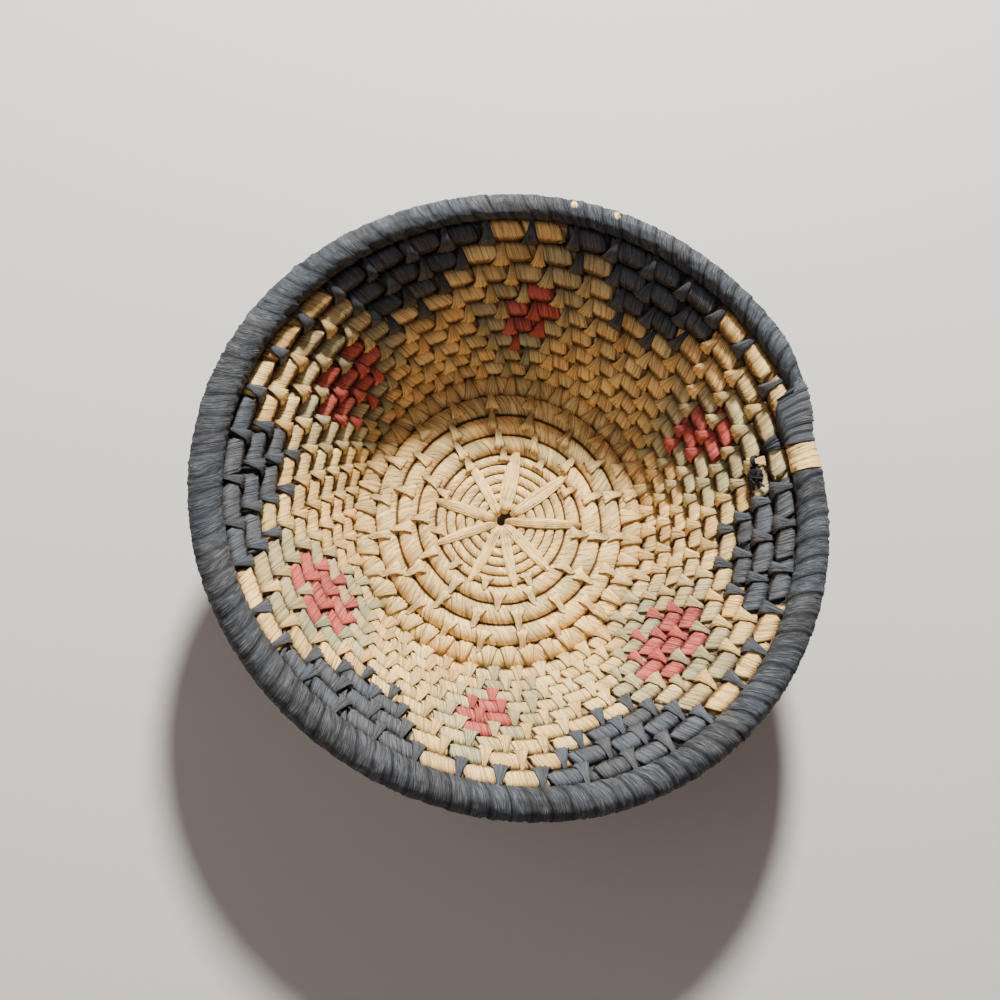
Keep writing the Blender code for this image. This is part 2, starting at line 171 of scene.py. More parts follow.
# How far the tip and the end in the hole are sunk, and their widths
TIP_SINK, HOLE_SINK, HOLE_WIDTH, TIP_WIDTH = 0.0034, 0.0012, 0.0026, 0.0005

# Their crown, the depth of their folds and edges, and the underside's depth
STRAP_CROWN, FOLD_DEPTH, EDGE_DEPTH, STRAP_THICKNESS = 0.0005, 0.0003, 0.0003, 0.0007

# The knot: its turn, its threads, and the natural strand tied in it
KNOT_TURN, THREAD_WIDTH, FIBRE_WIDTH = 16.975, 0.0009, 0.0008
NECK_LOOPS, LUMP_LOOPS, LOOSE_ENDS = 3, 13, 7

# Reach of the loops round the neck and in the lump: along the coil, out and over it
NECK_REACH, LUMP_REACH = (0.0019, 0.0004, 0.0013), (0.0040, 0.0036, 0.0016)

# The stage: half the floor, where the camera looks, and the lights with size and power
FLOOR_SIDE, CAMERA_TARGET = 3.0, (-0.0064, -0.0018, 0.086)
LIGHTS = (
    ("key_light", (0.06, 0.945, 0.86), 0.15, 58.5),
    ("fill_light", (0.6, -0.8, 1.1), 1.2, 2.2),
    ("side_light", (-0.9, 0.1, 0.8), 1.0, 3.0),
)
LIGHT_COLOUR, WORLD_COLOUR, WORLD_STRENGTH = (1.0, 0.97, 0.91), (1.0, 0.71, 0.70, 1.0), 0.172


def length(name, description, default):
    """A size in metres."""
    return bpy.props.FloatProperty(
        name=name, description=description, default=default, unit="LENGTH", precision=5
    )


def share(name, description, default):
    """A share between 0 and 1."""
    return bpy.props.FloatProperty(
        name=name, description=description, default=default, min=0.0, max=1.0, subtype="FACTOR"
    )


def angle(name, description, degrees):
    """An angle, given in degrees."""
    return bpy.props.FloatProperty(
        name=name, description=description, default=math.radians(degrees), subtype="ANGLE"
    )


def colour(name, description, default):
    """A colour."""
    return bpy.props.FloatVectorProperty(
        name=name, description=description, default=default, size=3, min=0.0, max=1.0,
        subtype="COLOR",
    )


class CoilSizes(bpy.types.PropertyGroup):
    """Widths, gaps and form of the spiral coil, the same as in the solids."""

    start: length("Start coil", "Width of the thin turns round the hole", 0.00375)
    splice: length("Splice", "Width where thicker grass is spliced in", 0.0066)
    base: length("Base coil", "Width of the base turns", 0.0084)
    edge: length("Edge coil", "Width at the edge of the base", 0.0092)
    wall: length("Wall coil", "Width of the wall turns", 0.0086)
    border: length("Border coil", "Width of the turns under the rim", 0.0097)
    rim: length("Rim coil", "Width of the rim", 0.0122)
    rim_late: length("Late rim", "Width of the rim's last part", 0.0088)
    rim_tip: length("Rim tip", "Width of the rim's very end", 0.0036)
    start_gap: length("Start gap", "Space between thin turns", 0.0006)
    groove_gap: length("Strap groove", "Space round the thin turns", 0.0014)
    base_gap: length("Base gap", "Space between base turns", 0.0010)
    bend_gap: length("Bend gap", "Space at the bend to the wall", 0.0022)
    wall_gap: length("Wall gap", "Space between wall turns", 0.0009)
    hole: length("Hole radius", "Radius of the hole in the middle", 0.0032)
    flat: length("Flat radius", "Where the base starts to bend", 0.0635)
    bend: length("Bend radius", "Radius of the bend to the wall", 0.012)
    slope: angle("Wall slope", "Slope of the wall at the bend", 63.0)
    flare: length("Flare radius", "Radius in which the wall leans out", 0.37)
    kick: length("Base kick", "How far the base is raised inside its edge", 0.0019)
    oval: share("Oval", "How oval the rim is", 0.020)
    three_sides: share("Three sides", "How three-sided the rim is", 0.009)


class StitchSizes(bpy.types.PropertyGroup):
    """Sizes of the bow-tie stitches and wraps."""

    per_turn: bpy.props.FloatProperty(
        name="Stitches per turn", description="Wall stitches on one turn", default=40.36, min=4.0
    )
    block: share("Block width", "Share of the spacing that a stitch takes on its own row", 0.91)
    fan: length("Fan width", "Width of its fan on the row inside", 0.0078)
    apex: length("Apex width", "Width where a stitch passes through the groove", 0.0015)
    base_fan: length("Base fan", "Width of a fan on the base", 0.0064)
    base_apex: length("Base apex", "Width of a base stitch in its groove", 0.0030)
    fan_lift: length("Fan lift", "Height of a fan over the wraps of its row", 0.0006)
    fan_crown: length("Fan crown", "How much a fan is rounded across", 0.0008)
    slant: length("Slant", "How far the wraps of a stitch run to the side", 0.0021)
    lift: length("Lift", "Height of a stitch over the coil", 0.0001)
    crown: length("Crown", "How much a stitch is rounded over its row", 0.0002)
    pleat: length("Pleat", "Depth of the folds in a stitch", 0.00024)
    dip: length("Dip", "How deep a wall stitch lies in the groove", 0.0009)
    strand: length("Strand", "Width of one wrap round the coil", 0.0026)
    strand_depth: length("Strand depth", "How far one wrap stands out", 0.00026)
    rim_strand: length("Rim strand", "Width of one wrap round the rim", 0.0080)
    rim_depth: length("Rim strand depth", "How far one rim wrap stands out", 0.00030)
    squeeze: share("Squeeze", "How much a stitch squeezes the coil", 0.24)


class DyeColours(bpy.types.PropertyGroup):
    """Colours of the raffia."""

    straw: colour("Straw", "Undyed raffia", (0.83, 0.565, 0.216))
    golden: colour("Golden", "Golden tan raffia", (0.73, 0.47, 0.17))
    sage: colour("Sage", "Grey-green raffia", (0.39, 0.34, 0.182))
    red: colour("Red", "Faded red raffia", (0.49, 0.092, 0.070))
    charcoal: colour("Charcoal", "Blue-black raffia", (0.060, 0.068, 0.080))
    thread: colour("Thread", "Dark thread of the knot", (0.008, 0.009, 0.013))


class StageSettings(bpy.types.PropertyGroup):
    """Floor, camera and lights."""

    distance: length("Camera distance", "From the camera to the middle of the rim", 0.534)
    lens: bpy.props.FloatProperty(
        name="Lens", description="Focal length", default=47.9, subtype="DISTANCE_CAMERA"
    )
    tilt_left: angle("Tilt to the left", "How far the camera leans to -X", 5.4)
    tilt_low: angle("Tilt to the front", "How far the camera leans to -Y", 9.1)
    floor: colour("Floor", "Colour of the floor", (0.50, 0.49, 0.47))


def stitches():
    """The stitches' sizes."""
    return bpy.context.scene.basket_stitches


def dye(name):
    """A colour of the raffia."""
    return np.array(getattr(bpy.context.scene.basket_dyes, name))


def arithmetic(operation, swapped=False):
    """A method that joins a socket to another term in a maths node."""
    def join(self, other):
        terms = (other, self) if swapped else (self, other)
        return self.tree.maths(operation, *terms)
    return join


class Socket:
    """An output of a node; arithmetic on it adds maths nodes to the same tree."""

    def __init__(self, tree, output):
        self.tree = tree
        self.output = output

    def __abs__(self):
        return self.tree.maths("ABSOLUTE", self)

    __add__, __radd__ = arithmetic("ADD"), arithmetic("ADD", swapped=True)
    __sub__, __rsub__ = arithmetic("SUBTRACT"), arithmetic("SUBTRACT", swapped=True)
    __mul__, __rmul__ = arithmetic("MULTIPLY"), arithmetic("MULTIPLY", swapped=True)
    __truediv__, __pow__ = arithmetic("DIVIDE"), arithmetic("POWER")


def is_vector(term):
    """Whether a term is a vector or a colour."""
    if isinstance(term, Socket):
        return term.output.type in ("VECTOR", "RGBA")
    return isinstance(term, tuple)


def blend(factor, first, second):
    """Value or vector between two others."""
    return first + (second - first) * factor


class Tree:
    """Adds nodes to a shader or geometry tree."""

    def __init__(self, owner):
        self.owner = owner

    def feed(self, node, sockets):
        """Set or link the inputs of a node."""
        for key, value in sockets.items():
            if isinstance(value, Socket):
                self.owner.links.new(value.output, node.inputs[key])
            else:
                node.inputs[key].default_value = value

    def node(self, kind, settings=None, sockets=None, output=0):
        """Add a node: its settings first, then the values or links of its sockets."""
        made = self.owner.nodes.new(kind)
        for name, value in (settings or {}).items():
            setattr(made, name, value)
        self.feed(made, sockets or {})
        return Socket(self, made.outputs[output])

    def maths(self, operation, *terms):
        """A Math node, or a Vector Math node where a term is a vector."""
        kind, sockets = "ShaderNodeMath", dict(enumerate(terms))
        vectors = [is_vector(term) for term in terms]
        if any(vectors):
            kind = "ShaderNodeVectorMath"
        if operation == "MULTIPLY" and any(vectors) and not all(vectors):
            vector, factor = terms if vectors[0] else terms[::-1]
            operation, sockets = "SCALE", {0: vector, "Scale": factor}
        output = "Value" if operation == "DOT_PRODUCT" else 0
        return self.node(kind, {"operation": operation}, sockets, output)

    def map_range(self, value, low, high, to_low=0.0, to_high=1.0, kind="LINEAR"):
        """Value mapped from one range to another, held at its ends."""
        return self.node(
            "ShaderNodeMapRange", {"interpolation_type": kind},
            {0: value, 1: low, 2: high, 3: to_low, 4: to_high},
        )

    def ease(self, value, low, high, to_low=0.0, to_high=1.0):
        """Value mapped from one range to another along a smooth step."""
        return self.map_range(value, low, high, to_low, to_high, "SMOOTHSTEP")

    def noise(self, kind, dimensions, **sockets):
        """A noise or white noise texture in some number of dimensions."""
        return self.node("ShaderNodeTex" + kind, {"noise_dimensions": dimensions}, sockets)

    def vector(self, x, y, z=0.0):
        """A vector from three values."""
        return self.node("ShaderNodeCombineXYZ", {}, {0: x, 1: y, 2: z})

    def attribute(self, name, kind="FLOAT"):
        """A named attribute, in a geometry tree."""
        return self.node("GeometryNodeInputNamedAttribute", {"data_type": kind}, {"Name": name})

    def read(self, label, output="Fac"):
        """A named attribute, in a shader tree."""
        return self.node("ShaderNodeAttribute", {"attribute_name": label}, {}, output)


def smooth(x):
    """Ease from 0 to 1."""
    x = np.clip(x, 0.0, 1.0)
    return x * x * (3.0 - 2.0 * x)


def eased(stations, turns):
    """Values at turns, easing between stations of turn and value."""
    turns = np.asarray(turns, float)
    places, values = np.array(stations).T
    index = np.clip(np.searchsorted(places, turns, side="left") - 1, 0, len(places) - 2)
    ease = smooth((turns - places[index]) / (places[index + 1] - places[index]))
    return values[index] + (values[index + 1] - values[index]) * ease


class CoilPath:
    """Centre line, frames and thickness of the coil at any turn."""

    def __init__(self, size):
        self.size = size
        groove_end, bend_end = START_END + 1.0, BASE_END + 1.0
        self.widths = (
            (0.0, size.start), (START_END - SPLICE, size.start), (START_END, size.splice),
            (groove_end, size.base), (BASE_END - 0.5, size.edge), (BASE_END + 0.5, size.wall),
            (PATTERN_END, size.wall), (PATTERN_END + 1.0, size.border),
            (BORDER_END - 0.1, size.border), (BORDER_END + 0.1, size.rim),
            (RIM_END - 0.4, size.rim), (RIM_END - 0.2, size.rim_late),
            (RIM_END - 0.045, size.rim_late), (RIM_END, size.rim_tip),
        )
        self.gaps = (
            (0.0, size.start_gap), (START_END - SPLICE, size.start_gap),
            (START_END, size.groove_gap), (groove_end, size.groove_gap),
            (groove_end + SPLICE, size.base_gap), (BASE_END - SPLICE, size.base_gap),
            (BASE_END, size.bend_gap), (bend_end + SPLICE, size.bend_gap),
            (bend_end + 2.0 * SPLICE, size.wall_gap),
        )
        self.turns = np.arange(int(RIM_END * LOOP) + 4) / LOOP
        width, gap = eased(self.widths, self.turns), eased(self.gaps, self.turns)
        first = self.turns[:LOOP]
        late = smooth((first - CLIMB_FROM) / (1.0 - CLIMB_FROM))
        climb = EVEN_CLIMB * first + (1.0 - EVEN_CLIMB) * late
        distance = np.zeros(len(self.turns))
        distance[:LOOP] = size.hole + width[:LOOP] / 2.0 + (size.start + size.start_gap) * climb
        for index in range(LOOP, len(distance)):
            step = (width[index] + width[index - LOOP]) / 2.0 + gap[index]
            distance[index] = distance[index - LOOP] + step
        self.distance = distance
        self.edge_height = size.edge / 2.0 / math.cos(math.pi / 6.0) * WORN_BASE
        rim = self.raw(np.arange(BORDER_END, RIM_END, 1.0 / LOOP))
        reach = rim["centre"] + rim["out"] * rim["radius"][:, None] * SECTION_CORNER
        self.shift = -(reach.min(0) + reach.max(0)) / 2.0 * (1.0, 1.0, 0.0)

    def profile(self, distance, width):
        """Radius, height and slope at a distance along the profile."""
        size = self.size
        kick = size.kick + 0.25 * (size.edge - width)
        kick = kick * smooth((size.flat - distance) / size.edge)
        bent = np.clip((distance - size.flat) / size.bend, 0.0, size.slope)
        wall = np.maximum(distance - size.flat - size.bend * size.slope, 0.0)
        slope = bent - wall / size.flare
        radius = np.minimum(distance, size.flat) + size.bend * np.sin(bent)
        radius += size.flare * (np.sin(bent) - np.sin(slope))
        height = self.edge_height + kick + size.bend * (1.0 - np.cos(bent))
        height += size.flare * (np.cos(slope) - np.cos(bent))
        return radius, height, slope

    def raw(self, turns):
        """Frames at turns, before the shift to the middle of the footprint."""
        size = self.size
        turns = np.asarray(turns, float)
        width = eased(self.widths, turns)
        distance = np.interp(turns, self.turns, self.distance)
        radius, height, slope = self.profile(distance, width)
        bearing = -FULL_TURN * turns
        rim_distance = np.interp(BORDER_END, self.turns, self.distance)
        part = smooth((distance - size.flat) / (rim_distance - size.flat))
        uneven = size.oval * np.cos(2.0 * (bearing - math.radians(OVAL_BEARING)))
        uneven += size.three_sides * np.cos(3.0 * (bearing - math.radians(CORNER_BEARING)))
        radius = radius * (1.0 + part * uneven)
        zeros = 0.0 * bearing
        away = np.stack([np.cos(bearing), np.sin(bearing), zeros], 1)
        up = np.array([0.0, 0.0, 1.0])
        sine, cosine = np.sin(slope)[:, None], np.cos(slope)[:, None]
        return {
            "centre": away * radius[:, None] + up * height[:, None],
            "out": away * cosine + up * sine,
            "normal": up * cosine - away * sine,
            "away": away,
            "along": np.stack([-np.sin(bearing), np.cos(bearing), zeros], 1),
            "radius": width / 2.0,
            "reach": radius,
            "gap": eased(self.gaps, turns),
        }

    def at(self, turns):
        """Frames at turns, in the basket's own place."""
        found = self.raw(turns)
        found["centre"] = found["centre"] + self.shift
        return found


def wrapped_radius(found):
    """Radius at which neighbouring rows touch."""
    return found["radius"] + np.minimum(found["gap"], CLOSED_GAP) / 2.0


def store(mesh, **fields):
    """Keep values or vectors on the points of a mesh, each under its name."""
    for name, values in fields.items():
        values = np.asarray(values, np.float32)
        kind, field = ("FLOAT_VECTOR", "vector") if values.ndim == 2 else ("FLOAT", "value")
        mesh.attributes.new(name, kind, "POINT").data.foreach_set(field, values.ravel())


def stored(mesh, name, width=1):
    """Values or vectors kept on the points of a mesh."""
    values = np.empty(len(mesh.vertices) * width, np.float32)
    mesh.attributes[name].data.foreach_get("value" if width == 1 else "vector", values)
    return values if width == 1 else values.reshape(-1, width)


def paint_flecks(mesh, middle):
    """Leave two natural spots on the rim, at a bearing and an angle round the coil."""
    around = np.arctan2(stored(mesh, "outward"), stored(mesh, "upward"))
    places, tones = stored(mesh, "position", 3) - middle, stored(mesh, "dye_tone", 3)
    bearing = np.degrees(np.arctan2(places[:, 1], places[:, 0]))
    for centre, turned in FLECKS:
        off = ((bearing - centre) / FLECK_BEARING) ** 2 + ((around - turned) / FLECK_ANGLE) ** 2
        tones[off < 1.0] = dye("straw")
    mesh.attributes["dye_tone"].data.foreach_set("vector", tones.ravel())


def stitch_density(turns):
    """Stitches per turn."""
    wall = stitches().per_turn
    return eased(BASE_DENSITY + ((10.02, wall), (21.0, wall)), turns)


def stitch_turns():
    """Turns at which the coil is stitched to the row inside."""
    turns = np.arange(START_END + 0.03, RIM_END - 0.01, COUNT_STEP)
    phase = np.cumsum(stitch_density(turns)) * COUNT_STEP
    marks = np.arange(0.5, phase[-1], 1.0)
    return np.interp(marks, phase, turns)


def bearing_gap(bearing, centres):
    """Degrees from a bearing to the nearest of some centres."""
    return min(abs((bearing - centre + 180.0) % 360.0 - 180.0) for centre in centres)


def dye_name(turn):
    """Dye of the stitch at a turn, by the pattern's rule."""
    row = int(turn)
    bearing = (-360.0 * turn) % 360.0
    if turn >= RIM_WRAP_END:
        return "charcoal"
    if bearing_gap(bearing, DARK_BEARINGS) < DARK_REACH.get(row, 0.0):
        return "charcoal"
    gap = bearing_gap(bearing + (row - MIDDLE_ROW) * LEAN_PER_ROW, RED_BEARINGS)
    if gap < RED_REACH.get(row, 0.0):
        return "red"
    if gap < SAGE_REACH.get(row, 0.0):
        return "sage"
    return "golden" if turn >= BASE_END else "straw"


def dye_tones(turns, seed):
    """Colour of each stitch, with the small differences between strands."""
    chance = random.Random(seed)
    tones = []
    for turn in turns:
        name = dye_name(turn)
        tone = dye(name)
        if name == "golden" and chance.random() < UNDYED_SHARE:
            tone = dye("straw")
        if name == "sage":
            tone = tone + (dye("straw") - tone) * chance.random() * SAGE_FADE
        bright = 1.0 + chance.uniform(-BRIGHTNESS, BRIGHTNESS)
        warm = chance.uniform(*WARMTH)
        tones.append(np.clip(tone * bright * np.array([1.0 + warm, 1.0, 1.0 - warm]), 0.0, 1.0))
    return np.array(tones)


def new_piece(name, data):
    """Object for a mesh or a curve."""
    made = bpy.data.objects.new(name, data)
    bpy.context.collection.objects.link(made)
    return made


def baked(piece, name):
    """Plain mesh piece made from a piece's modifiers or curve, which are then gone."""
    graph = bpy.context.evaluated_depsgraph_get()
    mesh = bpy.data.meshes.new_from_object(piece.evaluated_get(graph))
    old = piece.data
    owners = bpy.data.curves if isinstance(old, bpy.types.Curve) else bpy.data.meshes
    bpy.data.objects.remove(piece, do_unlink=True)
    owners.remove(old)
    mesh.name = name
    return new_piece(name, mesh)


def run_nodes(piece, group, values):
    """Put a geometry node group on a piece, set its inputs by their identifiers, and bake it."""
    modifier = piece.modifiers.new(group.name, "NODES")
    modifier.node_group = group
    for item in group.interface.items_tree:
        if item.in_out == "INPUT" and item.name in values:
            modifier[item.identifier] = values[item.name]
    name = piece.name
    piece.name = name + "_path"
    return baked(piece, name)


def node_group(name, floats, objects=()):
    """Geometry node group with a geometry in and out, and its named inputs."""
    group = bpy.data.node_groups.new(name, "GeometryNodeTree")
    face = group.interface
    face.new_socket("Geometry", in_out="INPUT", socket_type="NodeSocketGeometry")
    for label, default in floats.items():
        socket = face.new_socket(label, in_out="INPUT", socket_type="NodeSocketFloat")
        socket.default_value = default
    face.new_socket("Material", in_out="INPUT", socket_type="NodeSocketMaterial")
    for label in objects:
        face.new_socket(label, in_out="INPUT", socket_type="NodeSocketObject")
    face.new_socket("Geometry", in_out="OUTPUT", socket_type="NodeSocketGeometry")
    tree = Tree(group)
    source = group.nodes.new("NodeGroupInput")
    inputs = {socket.name: Socket(tree, socket) for socket in source.outputs if socket.name}
    return group, tree, inputs


def finish_group(tree, geometry, material):
    """End a geometry tree: smooth faces, real geometry and its material."""
    for kind, sockets in (
        ("GeometryNodeSetShadeSmooth", {"Shade Smooth": True}),
        ("GeometryNodeRealizeInstances", {}),
        ("GeometryNodeSetMaterial", {"Material": material}),
    ):
        geometry = tree.node(kind, {}, {"Geometry": geometry, **sockets})
    tree.feed(tree.owner.nodes.new("NodeGroupOutput"), {0: geometry})


def on_floor(tree, place, level):
    """A place, lifted to a level over the floor where it would lie below it."""
    parts = tree.owner.nodes.new("ShaderNodeSeparateXYZ")
    tree.feed(parts, {0: place})
    x, y, z = (Socket(tree, output) for output in parts.outputs)
    return tree.vector(x, y, tree.maths("MAXIMUM", z, level))


def wrapped_coil_group():
    """Geometry nodes: a coil wrapped in strands along a path with a radius at each point."""
    floats = {
        "Strand Width": 0.0023, "Strand Depth": 0.0002, "Lean": 0.2, "Shingle": 0.0,
        "Sway": 1.2, "Unevenness": 0.2, "Seal": 1.0, "Sides": 16.0, "Seed": 3.0,
    }
    group, tree, inputs = node_group("wrapped_coil", floats)
    radius = tree.attribute("coil_radius")
    curve = tree.node("GeometryNodeMeshToCurve", {}, {"Mesh": inputs["Geometry"]})
    curve = tree.node("GeometryNodeSetCurveRadius", {}, {"Curve": curve, "Radius": radius})
    section = tree.node(
        "GeometryNodeCurvePrimitiveCircle", {"mode": "RADIUS"},
        {"Resolution": inputs["Sides"], "Radius": 1.0},
    )
    tube = tree.node(
        "GeometryNodeCurveToMesh", {},
        {"Curve": curve, "Profile Curve": section, "Fill Caps": True},
    )
    centre = tree.attribute("centre", "FLOAT_VECTOR")
    place = tree.node("GeometryNodeInputPosition")
    reach = tree.maths("NORMALIZE", place - centre)
    upward, outward = (
        tree.maths("DOT_PRODUCT", reach, tree.attribute(way, "FLOAT_VECTOR"))
        for way in ("wall_normal", "wall_out")
    )
    arc = tree.attribute("arc")
    sway = tree.noise("Noise", "1D", W=arc, Scale=90.0)
    strand = arc / inputs["Strand Width"] + outward * inputs["Lean"] + sway * inputs["Sway"]
    inside = tree.maths("FRACT", strand)
    chance = tree.noise("WhiteNoise", "1D", W=tree.maths("FLOOR", strand) + inputs["Seed"])
    rounded = 1.0 - abs(inside * 2.0 - 1.0) ** 2.5
    stepped = inside * inputs["Shingle"]
    height = (rounded * 0.7 + stepped + chance * 0.5 - 0.6) * inputs["Strand Depth"]
    bumps = tree.noise("Noise", "3D", Vector=place, Scale=60.0)
    height = height + (bumps - 0.5) * (radius * inputs["Unevenness"])
    seal = blend(
        tree.map_range(outward, -0.1, 0.1),
        tree.attribute("seal_inside"), tree.attribute("seal_outside"),
    )
    sealing = abs(outward) ** 12.0 * inputs["Seal"]
    full = radius * tree.attribute("fullness") + height
    new_place = on_floor(tree, centre + reach * blend(sealing, full, seal), COIL_FLOOR)
    shaped = tree.node(
        "GeometryNodeSetPosition", {}, {"Geometry": tube, "Position": new_place}
    )
    for name, value in (
        ("outward", outward), ("upward", upward), ("strand", strand), ("crease", rounded),
        ("shade", chance),
    ):
        shaped = tree.node(
            "GeometryNodeStoreNamedAttribute", {"data_type": "FLOAT", "domain": "POINT"},
            {"Geometry": shaped, "Name": name, "Value": value},
        )
    finish_group(tree, shaped, inputs["Material"])
    return group


def coil_path_mesh(path, name, first, last, step, marks):
    """Edges along a length of the coil, with what the coil group needs at each point."""
    fine = np.arange(first, last, 0.002)
    reach = path.at(fine)["reach"]
    arc = np.concatenate([[0.0], np.cumsum(FULL_TURN * reach[:-1] * np.diff(fine))])
    count = max(int(arc[-1] / step), 8)
    arcs = np.linspace(0.0, arc[-1], count)
    turns = np.interp(arcs, arc, fine)
    found = path.at(turns)
    over = np.abs(turns[:, None] + 1.0 - marks[None, :]).min(1)
    spacing = 1.0 / stitch_density(turns + 1.0)
    tight = np.exp(-((over / (spacing * SQUEEZE_REACH)) ** 2))
    tight *= np.where(turns < BASE_END, BASE_SQUEEZE, 1.0)
    tight[(turns + 1.0 < marks[0] - 0.1) | (turns > RIM_WRAP_END)] = 0.0
    if first < START_END:
        tones = dye_tones(turns[::TONE_POINTS].repeat(TONE_POINTS)[:count], 5)
    elif BORDER_END <= first < RIM_WRAP_END:
        tones = np.tile(dye("straw"), (count, 1))
    else:
        own = np.abs(turns[:, None] - marks[None, :]).argmin(1)
        tones = dye_tones(marks, 11)[own]
    last_row = np.where(turns > BORDER_END - 1.0, 0.0006, 0.0002)
    mesh = bpy.data.meshes.new(name + "_path")
    mesh.from_pydata(found["centre"].tolist(), [(i, i + 1) for i in range(count - 1)], [])
    # The squeeze is kept as well, for painted shade in the hollows under the stitches
    store(
        mesh, centre=found["centre"], wall_normal=found["normal"], wall_out=found["out"],
        coil_radius=wrapped_radius(found),
        seal_inside=found["radius"] + found["gap"] / 2.0 + 0.0002,
        seal_outside=found["radius"] + eased(path.gaps, turns + 1.0) / 2.0 + last_row,
        arc=arcs, fullness=eased(FULLNESS, turns) - stitches().squeeze * tight, hollow=tight,
        dye_tone=tones * np.where(turns > RIM_WRAP_END, RIM_TONE, 1.0)[:, None],
    )
    return mesh


def ring_faces(rings, columns, closed=False):
    """Faces between rings of points; where closed, from the last ring back to the first."""
    faces = []
    for ring in range(rings if closed else rings - 1):
        here, ahead = ring * columns, (ring + 1) % rings * columns
        for index in range(columns):
            after = (index + 1) % columns
            faces.append((here + index, here + after, ahead + after, ahead + index))
    return faces


def smooth_faces(mesh):
    """Turn the faces of a closed mesh outward and shade them smooth."""
    shape = bmesh.new()
    shape.from_mesh(mesh)
    bmesh.ops.recalc_face_normals(shape, faces=shape.faces)
    for face in shape.faces:
        face.smooth = True
    shape.to_mesh(mesh)
    shape.free()


def stitch_template():
    """Closed folded strip with its place across and along kept on its points."""
    rows, columns = len(STITCH_ALONG), STITCH_COLUMNS + 1
    u = np.tile(np.append(np.linspace(-1.0, 1.0, STITCH_COLUMNS), 0.0), rows)
    skin = np.tile(np.append(np.ones(STITCH_COLUMNS), 0.0), rows)
    fold = np.tile(np.append(1.0 - 2.0 * (np.arange(STITCH_COLUMNS) % 2), 0.0), rows)
    v = np.repeat(STITCH_ALONG, columns)
    caps = [tuple(range(columns))[::-1], tuple(range((rows - 1) * columns, rows * columns))]
    mesh = bpy.data.meshes.new("stitch_template")
    points = np.stack([u, v, skin], 1).tolist()
    mesh.from_pydata(points, [], ring_faces(rows, columns) + caps)
    store(mesh, u=u, v=v, skin=skin, fold=fold)
    return new_piece("stitch_template", mesh)


def round_row(tree, row, turned, side, reach):
    """Place at an angle round a row, on one face of the basket."""
    centre, normal, out = (
        tree.attribute(f"{row}_{part}", "FLOAT_VECTOR") for part in ("centre", "normal", "out")
    )
    way = normal * (tree.maths("COSINE", turned) * side) + out * tree.maths("SINE", turned)
    return centre + way * reach


